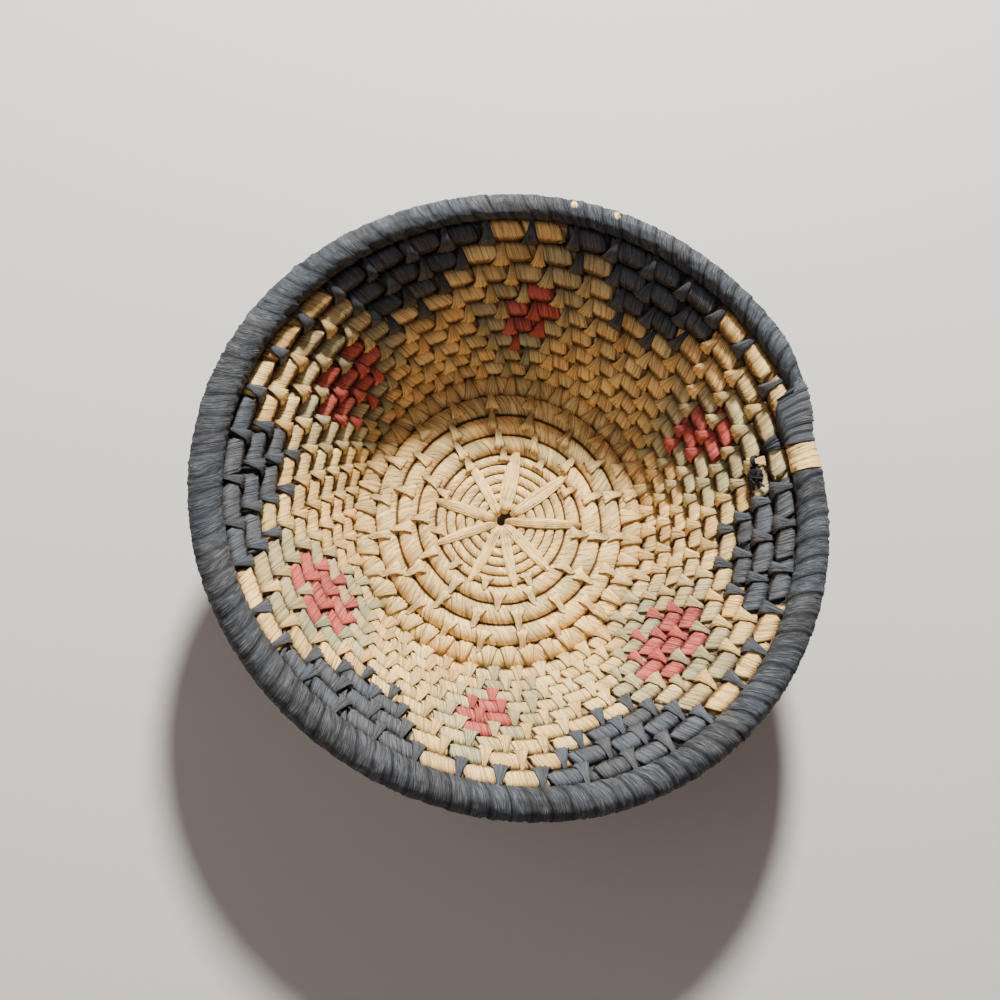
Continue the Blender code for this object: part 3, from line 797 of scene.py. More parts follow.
def bow_tie_group():
    """Geometry nodes: bow-tie stitches over their own row and the row inside it."""
    floats = {
        "Lift": 0.0003, "Fan Lift": 0.0003, "Crown": 0.0005, "Fan Crown": 0.0008,
        "Pleat": 0.00015, "Thickness": 0.0007,
    }
    group, tree, inputs = node_group("bow_tie_stitches", floats, objects=("Template",))
    template = tree.node(
        "GeometryNodeObjectInfo", {"transform_space": "ORIGINAL"},
        {"Object": inputs["Template"]}, output="Geometry",
    )
    placed = tree.node(
        "GeometryNodeInstanceOnPoints", {}, {"Points": inputs["Geometry"], "Instance": template}
    )
    placed = tree.node("GeometryNodeRealizeInstances", {}, {"Geometry": placed})
    u, v, skin, side, bend, slant, block, fan, apex = (
        tree.attribute(name) for name in (
            "u", "v", "skin", "side", "bend", "slant", "block_width", "fan_width", "apex_width",
        )
    )

    # Height over the row: a rounded skin with folds, more rounded on the fan
    chance = tree.noise("WhiteNoise", "2D", Vector=tree.vector(u * 3.0, tree.attribute("seed")))
    folds = tree.attribute("fold") * (chance * 0.7 + 0.65)
    folds = folds * tree.map_range(v, 0.10, 0.45, 0.25, 1.0)
    top = inputs["Lift"] + inputs["Crown"] * (1.0 - abs(u) ** 7.0) + inputs["Pleat"] * folds
    ridge = (1.0 - abs(u) ** 2.2) * tree.ease(v, 0.50, 0.66)
    top = top + inputs["Fan Crown"] * ridge
    height = skin * top + (skin - 1.0) * inputs["Thickness"]

    # Way of the strip: round its own row, across the groove and round the row inside
    crossing = tree.ease(v, 0.44, 0.56)
    tucked = tree.map_range(v, 0.92, 1.0)
    own_angle = tree.map_range(v, 0.0, 0.46, tree.attribute("own_start"), bend * -1.0)
    inner_angle = tree.map_range(v, 0.54, 0.92, bend, tree.attribute("inner_end"))
    inner_angle = inner_angle + (chance - 0.5) * tree.map_range(v, 0.76, 0.92, 0.0, 0.22)
    inner_angle = inner_angle - tucked * 0.5
    own_reach = tree.attribute("own_radius") + height + tree.attribute("own_lift")
    inner_reach = tree.attribute("inner_radius") + height
    inner_reach = inner_reach + inputs["Fan Lift"] * skin - tucked * tree.attribute("tuck")
    place = blend(
        crossing, round_row(tree, "own", own_angle, side, own_reach),
        round_row(tree, "inner", inner_angle, side, inner_reach),
    )
    low = tree.ease(abs(v - 0.5), 0.02, 0.16, 1.0, 0.0)
    own_normal = tree.attribute("own_normal", "FLOAT_VECTOR")
    place = place - own_normal * (low * tree.attribute("dip") * side)

    # Width: a block on its own row, a point in the groove and a fan on the row inside
    own_width = tree.map_range(v, tree.attribute("narrows"), 0.47, block, apex)
    inner_width = tree.map_range(v, 0.53, 0.92, apex, fan)
    width = blend(crossing, own_width, inner_width)
    drift = tree.map_range(v, 0.0, 0.36, slant, slant * -1.0)
    drift = drift + tree.map_range(v, 0.36, 0.48, 0.0, slant * 1.1)
    slide = u * width * 0.5 + tree.attribute("lean") * (v - 0.5) * fan + drift
    bow = slide * slide / (tree.attribute("turn_radius") * 2.0)
    place = place + tree.attribute("along", "FLOAT_VECTOR") * slide
    place = on_floor(
        tree, place - tree.attribute("away", "FLOAT_VECTOR") * bow, (1.0 - skin) * 0.0003
    )
    shaped = tree.node("GeometryNodeSetPosition", {}, {"Geometry": placed, "Position": place})
    inner_face = tree.maths("GREATER_THAN", side, 0.0)
    facing = tree.node("GeometryNodeFlipFaces", {}, {"Mesh": shaped, "Selection": inner_face})
    finish_group(tree, facing, inputs["Material"])
    return group


def stitch_points(path, name, turns, seed):
    """Points for stitches at turns, first on the inner and then on the outer face."""
    chance = random.Random(seed)
    tones = np.tile(dye_tones(turns, 11 + seed), (2, 1))
    side = np.repeat([1.0, -1.0], len(turns))
    turns = np.tile(turns, 2)
    own, inner = path.at(turns), path.at(turns - 1.0)
    density = stitch_density(turns)
    spacing, inner_spacing = (FULL_TURN * row["reach"] / density for row in (own, inner))
    vary = np.array([[chance.gauss(0.0, 1.0) for _ in range(6)] for _ in turns])
    vary = np.clip(vary, -1.8, 1.8)
    rim, base = turns >= RIM_WRAP_END, turns < BASE_END + 0.02
    pointed = rim | base
    form = np.select([base, rim], [0, 1], 2)
    sewn, variety = stitches(), STITCH_VARIETY
    jitter = own["along"] * (vary[:, :1] * spacing[:, None] * variety["place"])
    slant = sewn.slant * (1.0 + variety["slant"] * vary[:, 5])
    block = spacing * sewn.block * (1.0 + variety["block"] * vary[:, 1])
    fan = np.minimum(sewn.fan, inner_spacing * 0.85) * (1.0 + variety["fan"] * vary[:, 2])
    base_fan = sewn.base_fan * (1.0 + variety["base_fan"] * vary[:, 2])
    centres = own["centre"]
    mesh = bpy.data.meshes.new(name + "_points")
    mesh.from_pydata(centres.tolist(), [], [])
    store(
        mesh, own_centre=centres + jitter, inner_centre=inner["centre"] + jitter,
        own_normal=own["normal"], own_out=own["out"], inner_normal=inner["normal"],
        inner_out=inner["out"], along=own["along"], away=own["away"],
        own_radius=wrapped_radius(own), inner_radius=wrapped_radius(inner),
        slant=np.where(pointed, 0.0, slant), block_width=np.where(pointed, POINTED_BLOCK, block),
        fan_width=np.where(base, base_fan, fan),
        apex_width=np.where(base, sewn.base_apex, sewn.apex),
        dip=np.where(pointed, 0.0, sewn.dip), lean=variety["lean"] * vary[:, 3],
        turn_radius=own["reach"], side=side, seed=vary[:, 4] * 7.0,
        # Base stitches lighter than their dye: painted highlight
        dye_tone=tones * np.where(base, BASE_STITCH_HIGHLIGHT, 1.0)[:, None],
        **{label: np.array(values)[form] for label, values in STITCH_FORMS.items()},
    )
    return mesh


def new_material(name):
    """Material, its tree and its shader."""
    material = bpy.data.materials.new(name)
    material.use_nodes = True
    owner = material.node_tree
    return material, Tree(owner), owner.nodes["Principled BSDF"]


def wrap_reading(tree, fibre_count, groove, open_side):
    """Place among the fibres, painted shade between wraps, painted shade in the grooves and hollows,
    and the random tone of a strand wrapped round the coil.
    """
    outward = tree.read("outward")
    across = tree.read("strand") * fibre_count
    fibre = tree.vector(across, outward * 0.45, tree.read("upward") * 0.45)
    turned = outward * -1.0 if open_side else abs(outward)
    # Painted shade deep in the grooves between rows and in the hollows where the stitches squeeze
    # the coil
    crevice_shade = tree.map_range(turned, groove, groove + 0.10) + tree.read("hollow") * 0.8
    return fibre, 1.0 - tree.read("crease"), crevice_shade, 0.82 + tree.read("shade") * 0.36


def stitch_reading(tree, fibre_count):
    """Place among the fibres, painted shade at the sides and in crevices and folds, and painted
    light and shade along a stitch, a strap or a tied strand.
    """
    u, v, seed = (tree.read(label) for label in ("u", "v", "seed"))
    fibre = tree.vector(u * fibre_count, v * 1.6, seed * 3.1)
    # Painted shade where the block runs down into the groove, and at its start in the outer groove
    crevice_shade = tree.ease(v, 0.27, 0.39) * tree.map_range(v, 0.46, 0.57, 1.0, 0.0)
    crevice_shade = crevice_shade + tree.map_range(v, 0.0, 0.14, 0.7, 0.0)
    # Painted shade in the folds of the fan
    pleat = (1.0 - abs(tree.maths("SINE", u * 10.0 + seed))) ** 5.0
    crevice_shade = crevice_shade + pleat * tree.map_range(v, 0.54, 0.66, 0.0, 0.6)
    # Lighter towards the fan: painted shade on the low-lying block, painted light on the raised fan;
    # straps lighten along their length
    light = tree.map_range(v, 0.45, 0.65, 0.95, 1.08)
    # Painted shade along the sides, and the crevice shade scaled by its strength
    return fibre, abs(u) ** 5.0, crevice_shade * tree.read("pinch"), light


def raffia(name, streaks=1.0, coil=False, ridge=0.0005, fibre_count=14.0, groove=0.82,
           open_side=False, shine=0.35, fibre_sheen=1.0):
    """Raffia: dyed strands with fine fibres, dark streaks, pale streaks that are partly painted
    sheen, painted shade at edges and in crevices, and a soft specular sheen.
    """
    # groove sets how far round the coil the painted groove shade starts; open_side keeps that shade
    # to the side facing in
    material, tree, shader = new_material(name)
    if coil:
        where, edge, crevice_shade, light = wrap_reading(tree, fibre_count, groove, open_side)
    else:
        where, edge, crevice_shade, light = stitch_reading(tree, fibre_count)
    spot = tree.node("ShaderNodeTexCoord", {}, {}, "Object")
    fibres, fine, patches = (
        tree.noise("Noise", "3D", Vector=place, Scale=scale, Detail=detail, Roughness=0.6)
        for place, scale, detail in ((where, 1.0, 2.0), (where, 3.1, 3.0), (spot, 55.0, 3.0))
    )
    lines = tree.ease(fibres, 0.34, 0.50)
    thin = tree.ease(fine, 0.32, 0.50)
    # Random patches and fibre streaks, times the random tone of each wrap on the coil and the
    # painted light and shade along stitches and straps
    gain = (0.89 + patches * 0.32 + fibres * 0.34) * light
    tone = tree.read("dye_tone", "Color") * gain
    # Dark fibre streaks, painted shade along the edges and painted shade in crevices, all mixed
    # towards the dark colour
    streak_and_shade = (1.0 - lines) * (0.50 * streaks) + (1.0 - thin) * (0.40 * streaks)
    streak_and_shade = streak_and_shade + tree.ease(edge, 0.35, 1.0, 0.0, 0.6) + crevice_shade
    body = blend(tree.maths("MINIMUM", streak_and_shade, 1.0), tone, tone * STREAK_AND_SHADE_DARK)
    # Pale streaks, partly pale fibres and partly painted sheen, kept off the edges
    pale_sheen = tree.map_range(fine, 0.54, 0.70) * tree.map_range(edge, 0.2, 0.8, 1.0, 0.0)
    relief = lines * 0.4 + fibres * 0.4 + thin * 0.2
    bump = tree.node(
        "ShaderNodeBump", {}, {"Strength": 0.9, "Distance": ridge, "Height": relief}
    )
    tree.feed(shader, {
        "Base Color": body + PALE_FIBRE_SHEEN * (pale_sheen * fibre_sheen),
        "Roughness": 0.62 + (fine - 0.5) * 0.3,
        "Normal": bump,
        "Specular IOR Level": shine,
    })
    return material


def hold(piece, slot, *nodes):
    """Let a piece ride on the basket, in the place of its solids."""
    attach(piece, "root")
    if nodes:
        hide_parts(*nodes)


class PieceOperator(bpy.types.Operator):
    """Shared by the operators of the basket's pieces."""

    bl_options = {"REGISTER", "UNDO"}

    @staticmethod
    def path():
        """The coil's path from the sizes."""
        return CoilPath(bpy.context.scene.basket_coil)


class BASKET_OT_coil(PieceOperator):
    """Wind the wrapped coil from the centre hole to the rim's tip."""

    bl_idname = "basket.coil"
    bl_label = "Wrapped Coil"

    def execute(self, context):
        path, marks, sewn = self.path(), stitch_turns(), stitches()
        group = wrapped_coil_group()
        plain = raffia("coil_raffia", streaks=0.92, coil=True, fibre_count=6.5)
        hidden = raffia("wall_raffia", streaks=0.75, coil=True, fibre_count=6.5, groove=0.78)
        band = raffia("band_raffia", streaks=0.75, coil=True, fibre_count=6.5, open_side=True)
        # The rim's raffia, with stronger painted sheen in its pale streaks
        dark = raffia(
            "rim_raffia", streaks=0.8, coil=True, fibre_count=23.0, open_side=True, shine=0.2,
            fibre_sheen=1.7,
        )
        for node, first, last, slot, step, sides, material, name in (
            ("start_coil", 0.0, START_END, "straw", 0.00055, 14, plain, "wrapped_start_coil"),
            ("base_coil", START_END, BASE_END, "straw", 0.00060, 18, plain, "wrapped_base_coil"),
            ("wall_coil", BASE_END, WALL_END, "golden", 0.0009, 14, hidden, "wrapped_wall_coil"),
            ("pattern_coil", WALL_END, PATTERN_END, "sage", 0.0009, 14, hidden,
             "wrapped_pattern_coil"),
            ("border_coil", PATTERN_END, BORDER_END, "golden", 0.0009, 14, hidden,
             "wrapped_border_coil"),
            ("rim_start_wrap", BORDER_END, RIM_WRAP_END, "straw", 0.0006, 28, band,
             "wrapped_rim_start"),
            ("rim_coil", RIM_WRAP_END, RIM_END, "charcoal", 0.0006, 28, dark, "wrapped_rim"),
        ):
            rim = node.startswith("rim")
            values = {
                "Strand Width": sewn.rim_strand if material == dark else sewn.strand,
                "Strand Depth": sewn.rim_depth if rim else sewn.strand_depth * 0.35,
                "Sides": float(sides), "Seed": 3.0, "Material": material,
                **(RIM_WRAPPING if rim else ROW_WRAPPING),
            }
            mesh = coil_path_mesh(path, name, first, last, step, marks)
            made = run_nodes(new_piece(name, mesh), group, values)
            if node == "rim_coil":
                paint_flecks(made.data, path.shift)
            hold(made, slot, node)
        return {"FINISHED"}


class BASKET_OT_stitches(PieceOperator):
    """Sew every row to the row inside it with bow-tie stitches."""

    bl_idname = "basket.stitches"
    bl_label = "Bow-tie Stitches"

    def execute(self, context):
        path, marks, sewn = self.path(), stitch_turns(), stitches()
        group, template = bow_tie_group(), stitch_template()
        material = raffia("stitch_raffia", streaks=1.05)
        base_nodes = [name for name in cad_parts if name.startswith("base_stitch")]
        parts = (
            ("base_stitches", START_END, BASE_END, "straw", base_nodes),
            ("wall_stitches", BASE_END, WALL_END, "golden", []),
            ("pattern_stitches", WALL_END, PATTERN_END, "sage", []),
            ("border_stitches", PATTERN_END, BORDER_END, "golden", []),
            ("rim_stitches", RIM_WRAP_END, RIM_END, "charcoal", []),
        )
        for number, (name, first, last, slot, nodes) in enumerate(parts):
            turns = marks[(marks >= first) & (marks < last)]
            turns = turns[(turns < CLOSING_START + 0.012) | (turns > RIM_WRAP_END)]
            piece = new_piece(name, stitch_points(path, name, turns, number + 1))
            flatness = BASE_FLATNESS if nodes else 1.0
            values = {
                "Lift": sewn.lift, "Fan Lift": sewn.fan_lift * flatness, "Crown": sewn.crown,
                "Fan Crown": sewn.fan_crown * flatness, "Pleat": sewn.pleat,
                "Thickness": STITCH_THICKNESS, "Template": template, "Material": material,
            }
            hold(run_nodes(piece, group, values), slot, *nodes)
        bpy.data.objects.remove(template, do_unlink=True)
        return {"FINISHED"}


def directions(low, high, count):
    """Angles between two in degrees, and the directions at them."""
    angles = np.linspace(low, high, count)
    turned = np.radians(angles)
    return angles, np.stack([np.cos(turned), np.sin(turned)], 1)


def radius_and_height(found):
    """Places of a row in the plane through the basket's axis."""
    return np.stack([found["reach"], found["centre"][:, 2]], 1)


def closing_sections(path):
    """Sections of the wraps that bind the rim's end down, as radius and height."""
    turns = np.linspace(CLOSING_START, BORDER_END - 0.0004, CLOSING_SECTIONS)
    part = (turns - turns[0]) / (turns[-1] - turns[0])
    border, over, under = path.at(turns), path.at(turns + 1.0), path.at(turns - 1.0)
    band = radius_and_height(path.at([BORDER_END + 0.002]))
    late = radius_and_height(path.at([CLOSING_START + 1.0]))
    ease = smooth(part)[:, None]
    cover = COVER_RISE * smooth(part / COVER_EASE) + COVER_START
    circles = (
        (radius_and_height(border), wrapped_radius(border) + cover),
        (late * (1.0 - ease) + band * ease, FILLING + SWELLING * smooth(part / 0.7)),
        (radius_and_height(over),
         np.where(turns + 1.0 < RIM_END, over["radius"] + cover, LEFT_OUT)),
    )

    # The outline of the three circles, and below it a fan on the row inside
    around, ways = directions(*OUTLINE_ARC)
    picked = np.stack([c @ ways.T + r[:, None] for c, r in circles]).argmax(0)
    hull = np.zeros((len(turns), len(around), 2))
    for index, (centre, radius) in enumerate(circles):
        points = centre[:, None] + ways[None] * radius[:, None, None]
        hull = np.where((picked == index)[..., None], points, hull)
    low, low_ways = directions(*FAN_ARC)
    radius = wrapped_radius(under) + 0.0009
    fan = radius_and_height(under)[:, None] + low_ways[None] * radius[:, None, None]
    over_row = DRAWN_AT_FAN * smooth((around - 115.0) / 90.0)
    over_fan = blend(smooth(np.linspace(0.12, 1.0, len(low))), DRAWN_AT_FAN, 1.0)
    drawn = np.concatenate([over_row, over_fan]) * DRAWN
    bearings = turns[:, None] + (CLOSING_APEX - turns[:, None]) * drawn[None]
    return part, bearings, np.concatenate([hull, fan], 1)


def closing_mesh(path):
    """Wide dark wraps round the rim's end, drawn to a point on the row inside."""
    part, bearings, sections = closing_sections(path)
    rows, columns = bearings.shape
    turned = -FULL_TURN * bearings
    places = np.stack([
        np.cos(turned) * sections[..., 0], np.sin(turned) * sections[..., 0], sections[..., 1],
    ], 2) + path.shift
    facing = np.cross(np.gradient(places, axis=0), np.gradient(places, axis=1))
    facing /= np.linalg.norm(facing, axis=2)[..., None] + 1e-12
    inner = (rows // 2, TOP_COLUMN)
    middle = path.at([CLOSING_START + 0.02])["centre"][0]
    if facing[inner] @ (places[inner] - middle) < 0.0:
        facing = -facing
    wrap = part * CLOSING_WRAPS
    inside = wrap - np.floor(wrap)
    rise = 0.0007 * (inside - 0.4) + 0.0002 * np.cos(inside * 19.0)
    points = np.stack([places + facing * rise[:, None, None], places - facing * CLOSING_THICKNESS])
    points = points.reshape(-1, 3)
    points[:, 2] = np.clip(points[:, 2], 0.0, None)

    # Faces above, below and along the edge
    grid = np.arange(rows * columns).reshape(rows, columns)
    here, ahead = grid[:-1, :-1].ravel(), grid[1:, :-1].ravel()
    edge = np.concatenate([grid[:, 0], grid[-1, 1:], grid[-2::-1, -1], grid[0, -2:0:-1]])
    after = np.roll(edge, -1)
    faces = np.concatenate([
        np.stack([here, ahead, ahead + 1, here + 1], 1),
        np.stack([here, here + 1, ahead + 1, ahead], 1) + grid.size,
        np.stack([edge, edge + grid.size, after + grid.size, after], 1),
    ])
    mesh = bpy.data.meshes.new("closing_wraps")
    mesh.from_pydata(points.tolist(), [], faces.tolist())
    smooth_faces(mesh)
    store(
        mesh, u=np.tile(np.repeat(inside * 2.0 - 1.0, columns), 2),
        v=np.tile(np.linspace(0.2, 1.4, columns) + 0.6, 2 * rows),
        seed=np.tile(np.repeat(np.floor(wrap) * 1.7, columns), 2), pinch=np.zeros(len(points)),
        dye_tone=np.tile(dye("charcoal") * 1.15, (len(points), 1)),
    )
    return mesh


class BASKET_OT_closing(PieceOperator):
    """Bind the rim's end down with wide dark wraps."""

    bl_idname = "basket.closing"
    bl_label = "Closing Wraps"

    def execute(self, context):
        piece = new_piece("closing_wraps", closing_mesh(self.path()))
        # Dark raffia with strong painted sheen in its pale streaks
        piece.data.materials.append(raffia(
            "closing_raffia", ridge=0.0006, fibre_count=13.0, shine=0.2, fibre_sheen=2.0
        ))
        hold(piece, "charcoal")
        return {"FINISHED"}


def strap_loop(path, away, number):
    """Closed line over and under the thin turns, as reach and height, and its shares."""
    first = (-STRAP_BEARINGS[number] / 360.0) % 1.0
    rows = path.at(np.arange(first, START_END + 0.6, 1.0))
    places = (rows["centre"] - path.shift) @ away
    hole = places[0] - rows["radius"][0] - HOLE_SINK
    part = (1.0 - np.cos(np.linspace(0.0, math.pi, STRAP_SECTIONS))) / 2.0
    reach = hole + (STRAP_REACHES[number] / 1000.0 - hole) * part
    middle = np.interp(reach, places, rows["centre"][:, 2])
    ripple = np.abs(reach[:, None] - places[None, :]).min(1) / RIDGE_REACH
    lift = STRAP_LIFT + np.interp(reach, places, rows["radius"])
    lift -= STRAP_DIP * np.clip(ripple, 0.0, 1.0) ** 2
    lift -= smooth((part - 0.93) / 0.07) * TIP_SINK + smooth((0.06 - part) / 0.06) * HOLE_SINK
    top, low = np.stack([reach, middle + lift], 1), np.stack([reach, middle - lift], 1)
    return np.concatenate([top, low[::-1]]), np.concatenate([part, part[::-1]])


def strap_mesh(path, number):
    """Pleated leaf-shaped strap through the hole and round the thin turns."""
    chance = random.Random(40 + number)
    bearing = math.radians(STRAP_BEARINGS[number])
    away = np.array([math.cos(bearing), math.sin(bearing), 0.0])
    across = np.array([-math.sin(bearing), math.cos(bearing), 0.0])
    loop, parts = strap_loop(path, away, number)
    ahead = np.roll(loop, -1, 0) - np.roll(loop, 1, 0)
    ahead /= np.linalg.norm(ahead, axis=1)[:, None]
    facing = np.stack([-ahead[:, 1], ahead[:, 0]], 1)

    # A leaf with folds along it: wide in the middle, narrow at the hole and the tip
    leaf = np.sin(math.pi * np.clip(parts, 0.02, 0.98) ** 0.85) ** 0.62
    ends = blend(parts, HOLE_WIDTH, TIP_WIDTH)
    widths = blend(leaf, ends, STRAP_WIDTHS[number] / 1000.0)
    lean = chance.uniform(-0.0008, 0.0008)
    folds = chance.randint(4, 6)
    start = chance.uniform(0.0, 6.0)
    u = np.append(np.linspace(-1.0, 1.0, 2 * folds + 7), (0.6, -0.6))
    fold = FOLD_DEPTH * np.cos(u * math.pi * folds + start)
    fold = fold * np.minimum(widths / 0.003, 1.0)[:, None]
    rise = STRAP_CROWN * (1.0 - np.abs(u) ** 2.2) + fold - EDGE_DEPTH * np.abs(u) ** 5
    rise[:, -2:] = -STRAP_THICKNESS
    slide = u * widths[:, None] / 2.0 + lean * np.sin(math.pi * parts)[:, None]
    spots = loop[:, None] + facing[:, None] * rise[..., None]
    points = spots[..., :1] * away + slide[..., None] * across + path.shift
    points[..., 2] = np.maximum(spots[..., 1], 0.0)
    count = points.shape[0] * points.shape[1]
    mesh = bpy.data.meshes.new(f"strap_{number + 1}")
    faces = ring_faces(len(loop), len(u), closed=True)
    mesh.from_pydata(points.reshape(-1, 3).tolist(), [], faces)
    smooth_faces(mesh)
    tone = dye("straw") * (1.12 + chance.uniform(-0.05, 0.06))
    store(
        mesh, u=np.tile(u, len(loop)), v=np.repeat(parts * 1.6, len(u)),
        seed=np.full(count, number * 3.7), pinch=np.zeros(count),
        dye_tone=np.tile(tone, (count, 1)),
    )
    return mesh


class BASKET_OT_straps(PieceOperator):
    """Tie the thin start turns with nine pleated straps."""

    bl_idname = "basket.straps"
    bl_label = "Start Straps"

    def execute(self, context):
        path = self.path()
        material = raffia("strap_raffia", streaks=1.2)
        for number in range(len(STRAP_BEARINGS)):
            piece = new_piece(f"pleated_strap_{number + 1}", strap_mesh(path, number))
            piece.data.materials.append(material)
            hold(piece, "straw", f"start_strap_{number + 1}")
        return {"FINISHED"}


def thread_tube(name, strands, diameter, material):
    """One mesh of round threads along lists of points."""
    curve = bpy.data.curves.new(name + "_curve", "CURVE")
    curve.dimensions = "3D"
    curve.bevel_depth = diameter / 2.0
    curve.bevel_resolution = 3
    curve.use_fill_caps = True
    for points in strands:
        spline = curve.splines.new("NURBS")
        spline.points.add(len(points) - 1)
        for target, point in zip(spline.points, points):
            target.co = (*point, 1.0)
        spline.order_u = 4
        spline.use_endpoint_u = True
        spline.resolution_u = 3
    made = baked(new_piece(name + "_curve", curve), name)
    made.data.materials.clear()
    made.data.materials.append(material)
    return made


def thread_material():
    """Dark twisted thread with a slight shine."""
    material, tree, shader = new_material("knot_thread")
    spot = tree.node("ShaderNodeTexCoord", {}, {}, "Object")
    twist = tree.noise("Noise", "3D", Vector=spot, Scale=1500.0, Detail=3.0)
    body = tree.node(
        "ShaderNodeMix", {"data_type": "RGBA", "blend_type": "MIX"},
        {"Factor": tree.map_range(twist, 0.5, 0.72, 0.0, 0.3), "A": (*dye("thread"), 1.0),
         "B": (0.05, 0.056, 0.07, 1.0)}, output="Result",
    )
    bump = tree.node(
        "ShaderNodeBump", {}, {"Strength": 0.8, "Distance": 0.0003, "Height": twist}
    )
    tree.feed(shader, {
        "Base Color": body, "Roughness": 0.6, "Specular IOR Level": 0.25, "Normal": bump,
    })
    return material


def thread_loop(axes, middle, reach, way, step, count):
    """Points of a loop round a middle, across a way, in the frame of the coil."""
    facing = Vector(way).to_track_quat("Z", "Y")
    spots = [
        facing @ Vector((math.cos(index * step), math.sin(index * step), 0.0))
        for index in range(count)
    ]
    return middle + np.array(spots) * reach @ axes


class BASKET_OT_knot(PieceOperator):
    """Tie the dark thread round the last natural strand on the border."""

    bl_idname = "basket.knot"
    bl_label = "Thread Knot"

    def execute(self, context):
        chance = random.Random(8)
        found = self.path().at([KNOT_TURN])
        axes = np.stack([found[key][0] for key in ("along", "out", "normal")])
        height = wrapped_radius(found)[0] + 0.0012
        base = found["centre"][0] + np.array([0.0, 0.0014, height]) @ axes
        neck = base + np.array([0.0026, 0.0010, 0.0]) @ axes
        lump = base + np.array([-0.0036, 0.0, 0.0]) @ axes

        # Loops round the neck, a lump of loops, and loose ends
        strands = []
        for index in range(NECK_LOOPS):
            middle = neck + axes[1] * (0.0008 * index - 0.0008)
            strands.append(thread_loop(
                axes, middle, NECK_REACH, (0.1, 1.0, 0.1), 0.48, 14
            ))
        for _ in range(LUMP_LOOPS):
            way = [chance.uniform(-1.0, 1.0) for _ in range(3)]
            reach = chance.uniform(0.72, 1.0) * np.array(LUMP_REACH)
            strands.append(thread_loop(axes, lump, reach, way, 0.44, 15))
        steps = np.arange(4.0)
        for _ in range(LOOSE_ENDS):
            side = chance.uniform(-0.9, 0.9) * 0.0013
            strands.append(lump + np.stack([
                -0.0020 - 0.0012 * steps, side * (steps + 1.0), 0.0006 - 0.0004 * steps,
            ], 1) @ axes)
        piece = thread_tube("knot_threads", strands, THREAD_WIDTH, thread_material())
        hold(piece, "thread", "thread_knot")

        # The tied strand: five fibres, drawn together where the thread holds them
        steps = np.arange(9.0)
        off = np.abs(steps - 3.0)
        tied = [
            neck + np.stack([
                0.0004 - 0.0002 * steps + fibre * (0.00018 + 0.00014 * off),
                0.0011 * steps - 0.0033, 0.0009 - 0.0001 * off,
            ], 1) @ axes
            for fibre in (-2.0, -1.0, 0.0, 1.0, 2.0)
        ]
        strand = thread_tube("tied_strand", tied, FIBRE_WIDTH, raffia("tied_raffia"))
        offsets = stored(strand.data, "position", 3) - neck
        store(
            strand.data, u=offsets @ axes[0] * 400.0, v=offsets @ axes[1] * 60.0 + 1.0,
            dye_tone=np.tile(dye("straw") * 1.1, (len(offsets), 1)),
        )
        hold(strand, "straw")
        return {"FINISHED"}


def aim(direction):
    """Camera turn for a direction, with the picture's up along +Y."""
    back = -direction.normalized()
    right = Vector((0.0, 1.0, 0.0)).cross(back).normalized()
    up = back.cross(right)
    return Matrix((right, up, back)).transposed().to_euler()


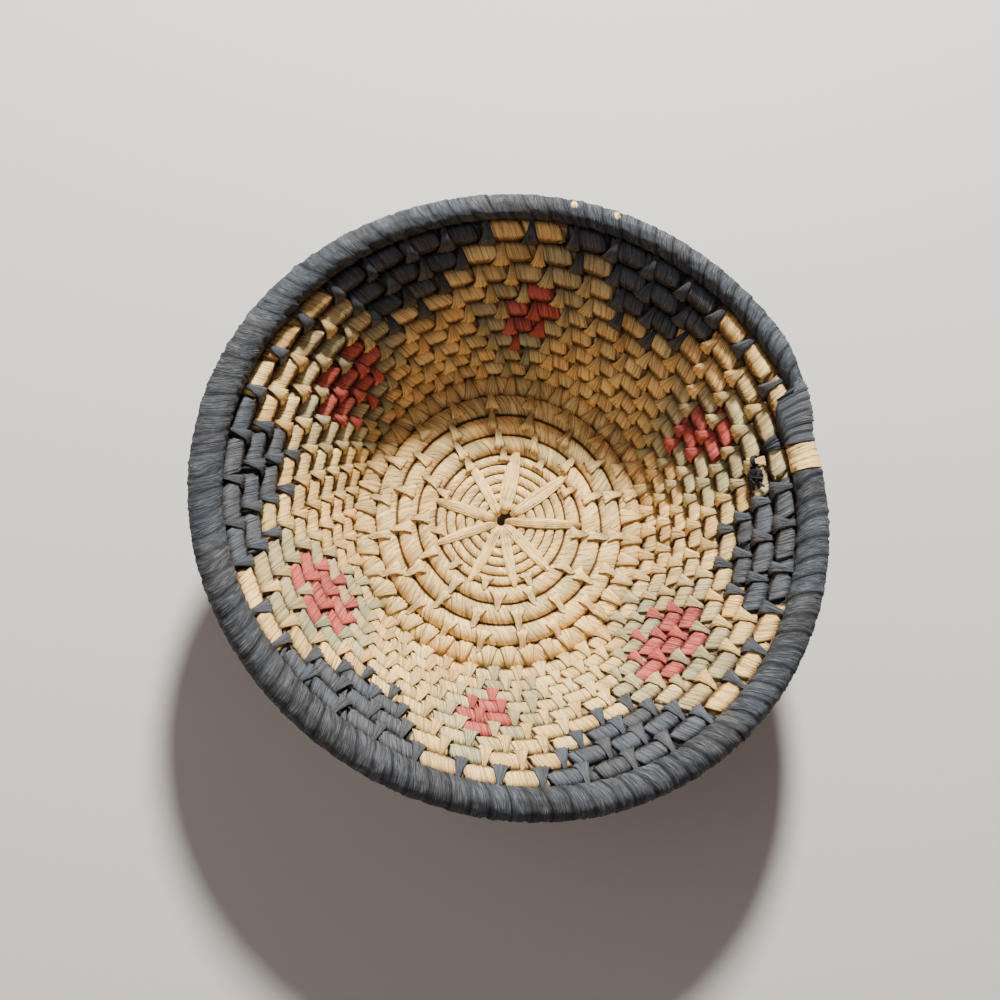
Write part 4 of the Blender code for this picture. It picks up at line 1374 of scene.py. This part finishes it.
class BASKET_OT_stage(bpy.types.Operator):
    """Set out the floor, the lights and the camera."""

    bl_idname = "basket.stage"
    bl_label = "Stage"

    def execute(self, context):
        stage = context.scene.basket_stage
        side = FLOOR_SIDE
        corners = [(-side, -side, 0.0), (side, -side, 0.0), (side, side, 0.0), (-side, side, 0.0)]
        mesh = bpy.data.meshes.new("floor")
        mesh.from_pydata(corners, [], [(0, 1, 2, 3)])
        floor = new_piece("floor", mesh)
        material, tree, shader = new_material("floor_paint")
        tree.feed(shader, {"Base Color": (*stage.floor, 1.0), "Roughness": 0.9})
        mesh.materials.append(material)
        target = Vector(CAMERA_TARGET)
        view = Vector((-math.tan(stage.tilt_left), -math.tan(stage.tilt_low), 1.0))
        data = bpy.data.cameras.new("photo_camera")
        data.lens = stage.lens
        data.sensor_width = 36.0
        camera = new_piece("photo_camera", data)
        camera.location = target + view.normalized() * stage.distance
        camera.rotation_euler = aim(target - camera.location)
        context.scene.camera = camera
        for name, spot, size, power in LIGHTS:
            lamp = bpy.data.lights.new(name, "AREA")
            lamp.shape = "DISK"
            lamp.size = size
            lamp.energy = power
            lamp.color = LIGHT_COLOUR
            light = new_piece(name, lamp)
            light.location = spot
            light.rotation_euler = (-Vector(spot)).to_track_quat("-Z", "Y").to_euler()
        world = bpy.data.worlds.new("soft_world")
        world.use_nodes = True
        background = world.node_tree.nodes["Background"]
        background.inputs["Color"].default_value = WORLD_COLOUR
        background.inputs["Strength"].default_value = WORLD_STRENGTH
        context.scene.world = world
        return {"FINISHED"}


class BASKET_PT_panel(bpy.types.Panel):
    """Lists the basket's pieces."""

    bl_label = "Round Coiled Basket"
    bl_idname = "BASKET_PT_panel"
    bl_space_type = "VIEW_3D"
    bl_region_type = "UI"
    bl_category = "Basket"

    def draw(self, context):
        column = self.layout.column(align=True)
        for step in STEPS:
            column.operator(step.bl_idname)
        for group in GROUPS:
            settings = getattr(context.scene, group)
            box = self.layout.box()
            for name in settings.__annotations__:
                box.prop(settings, name)


GROUPS = {
    "basket_coil": CoilSizes,
    "basket_stitches": StitchSizes,
    "basket_dyes": DyeColours,
    "basket_stage": StageSettings,
}
STEPS = (
    BASKET_OT_coil, BASKET_OT_stitches, BASKET_OT_closing, BASKET_OT_straps, BASKET_OT_knot,
    BASKET_OT_stage,
)


def register():
    """Register the classes and put the settings on the scene."""
    for group in GROUPS.values():
        bpy.utils.register_class(group)
    for step in STEPS + (BASKET_PT_panel,):
        bpy.utils.register_class(step)
    for name, group in GROUPS.items():
        setattr(bpy.types.Scene, name, bpy.props.PointerProperty(type=group))


def unregister():
    """Take the settings and the classes away again."""
    for name in GROUPS:
        delattr(bpy.types.Scene, name)
    for item in (BASKET_PT_panel,) + STEPS[::-1] + tuple(GROUPS.values()):
        bpy.utils.unregister_class(item)


def main():
    """Make every piece."""
    register()
    bpy.ops.basket.coil()
    bpy.ops.basket.stitches()
    bpy.ops.basket.closing()
    bpy.ops.basket.straps()
    bpy.ops.basket.knot()
    bpy.ops.basket.stage()


if __name__ == "__main__":
    main()
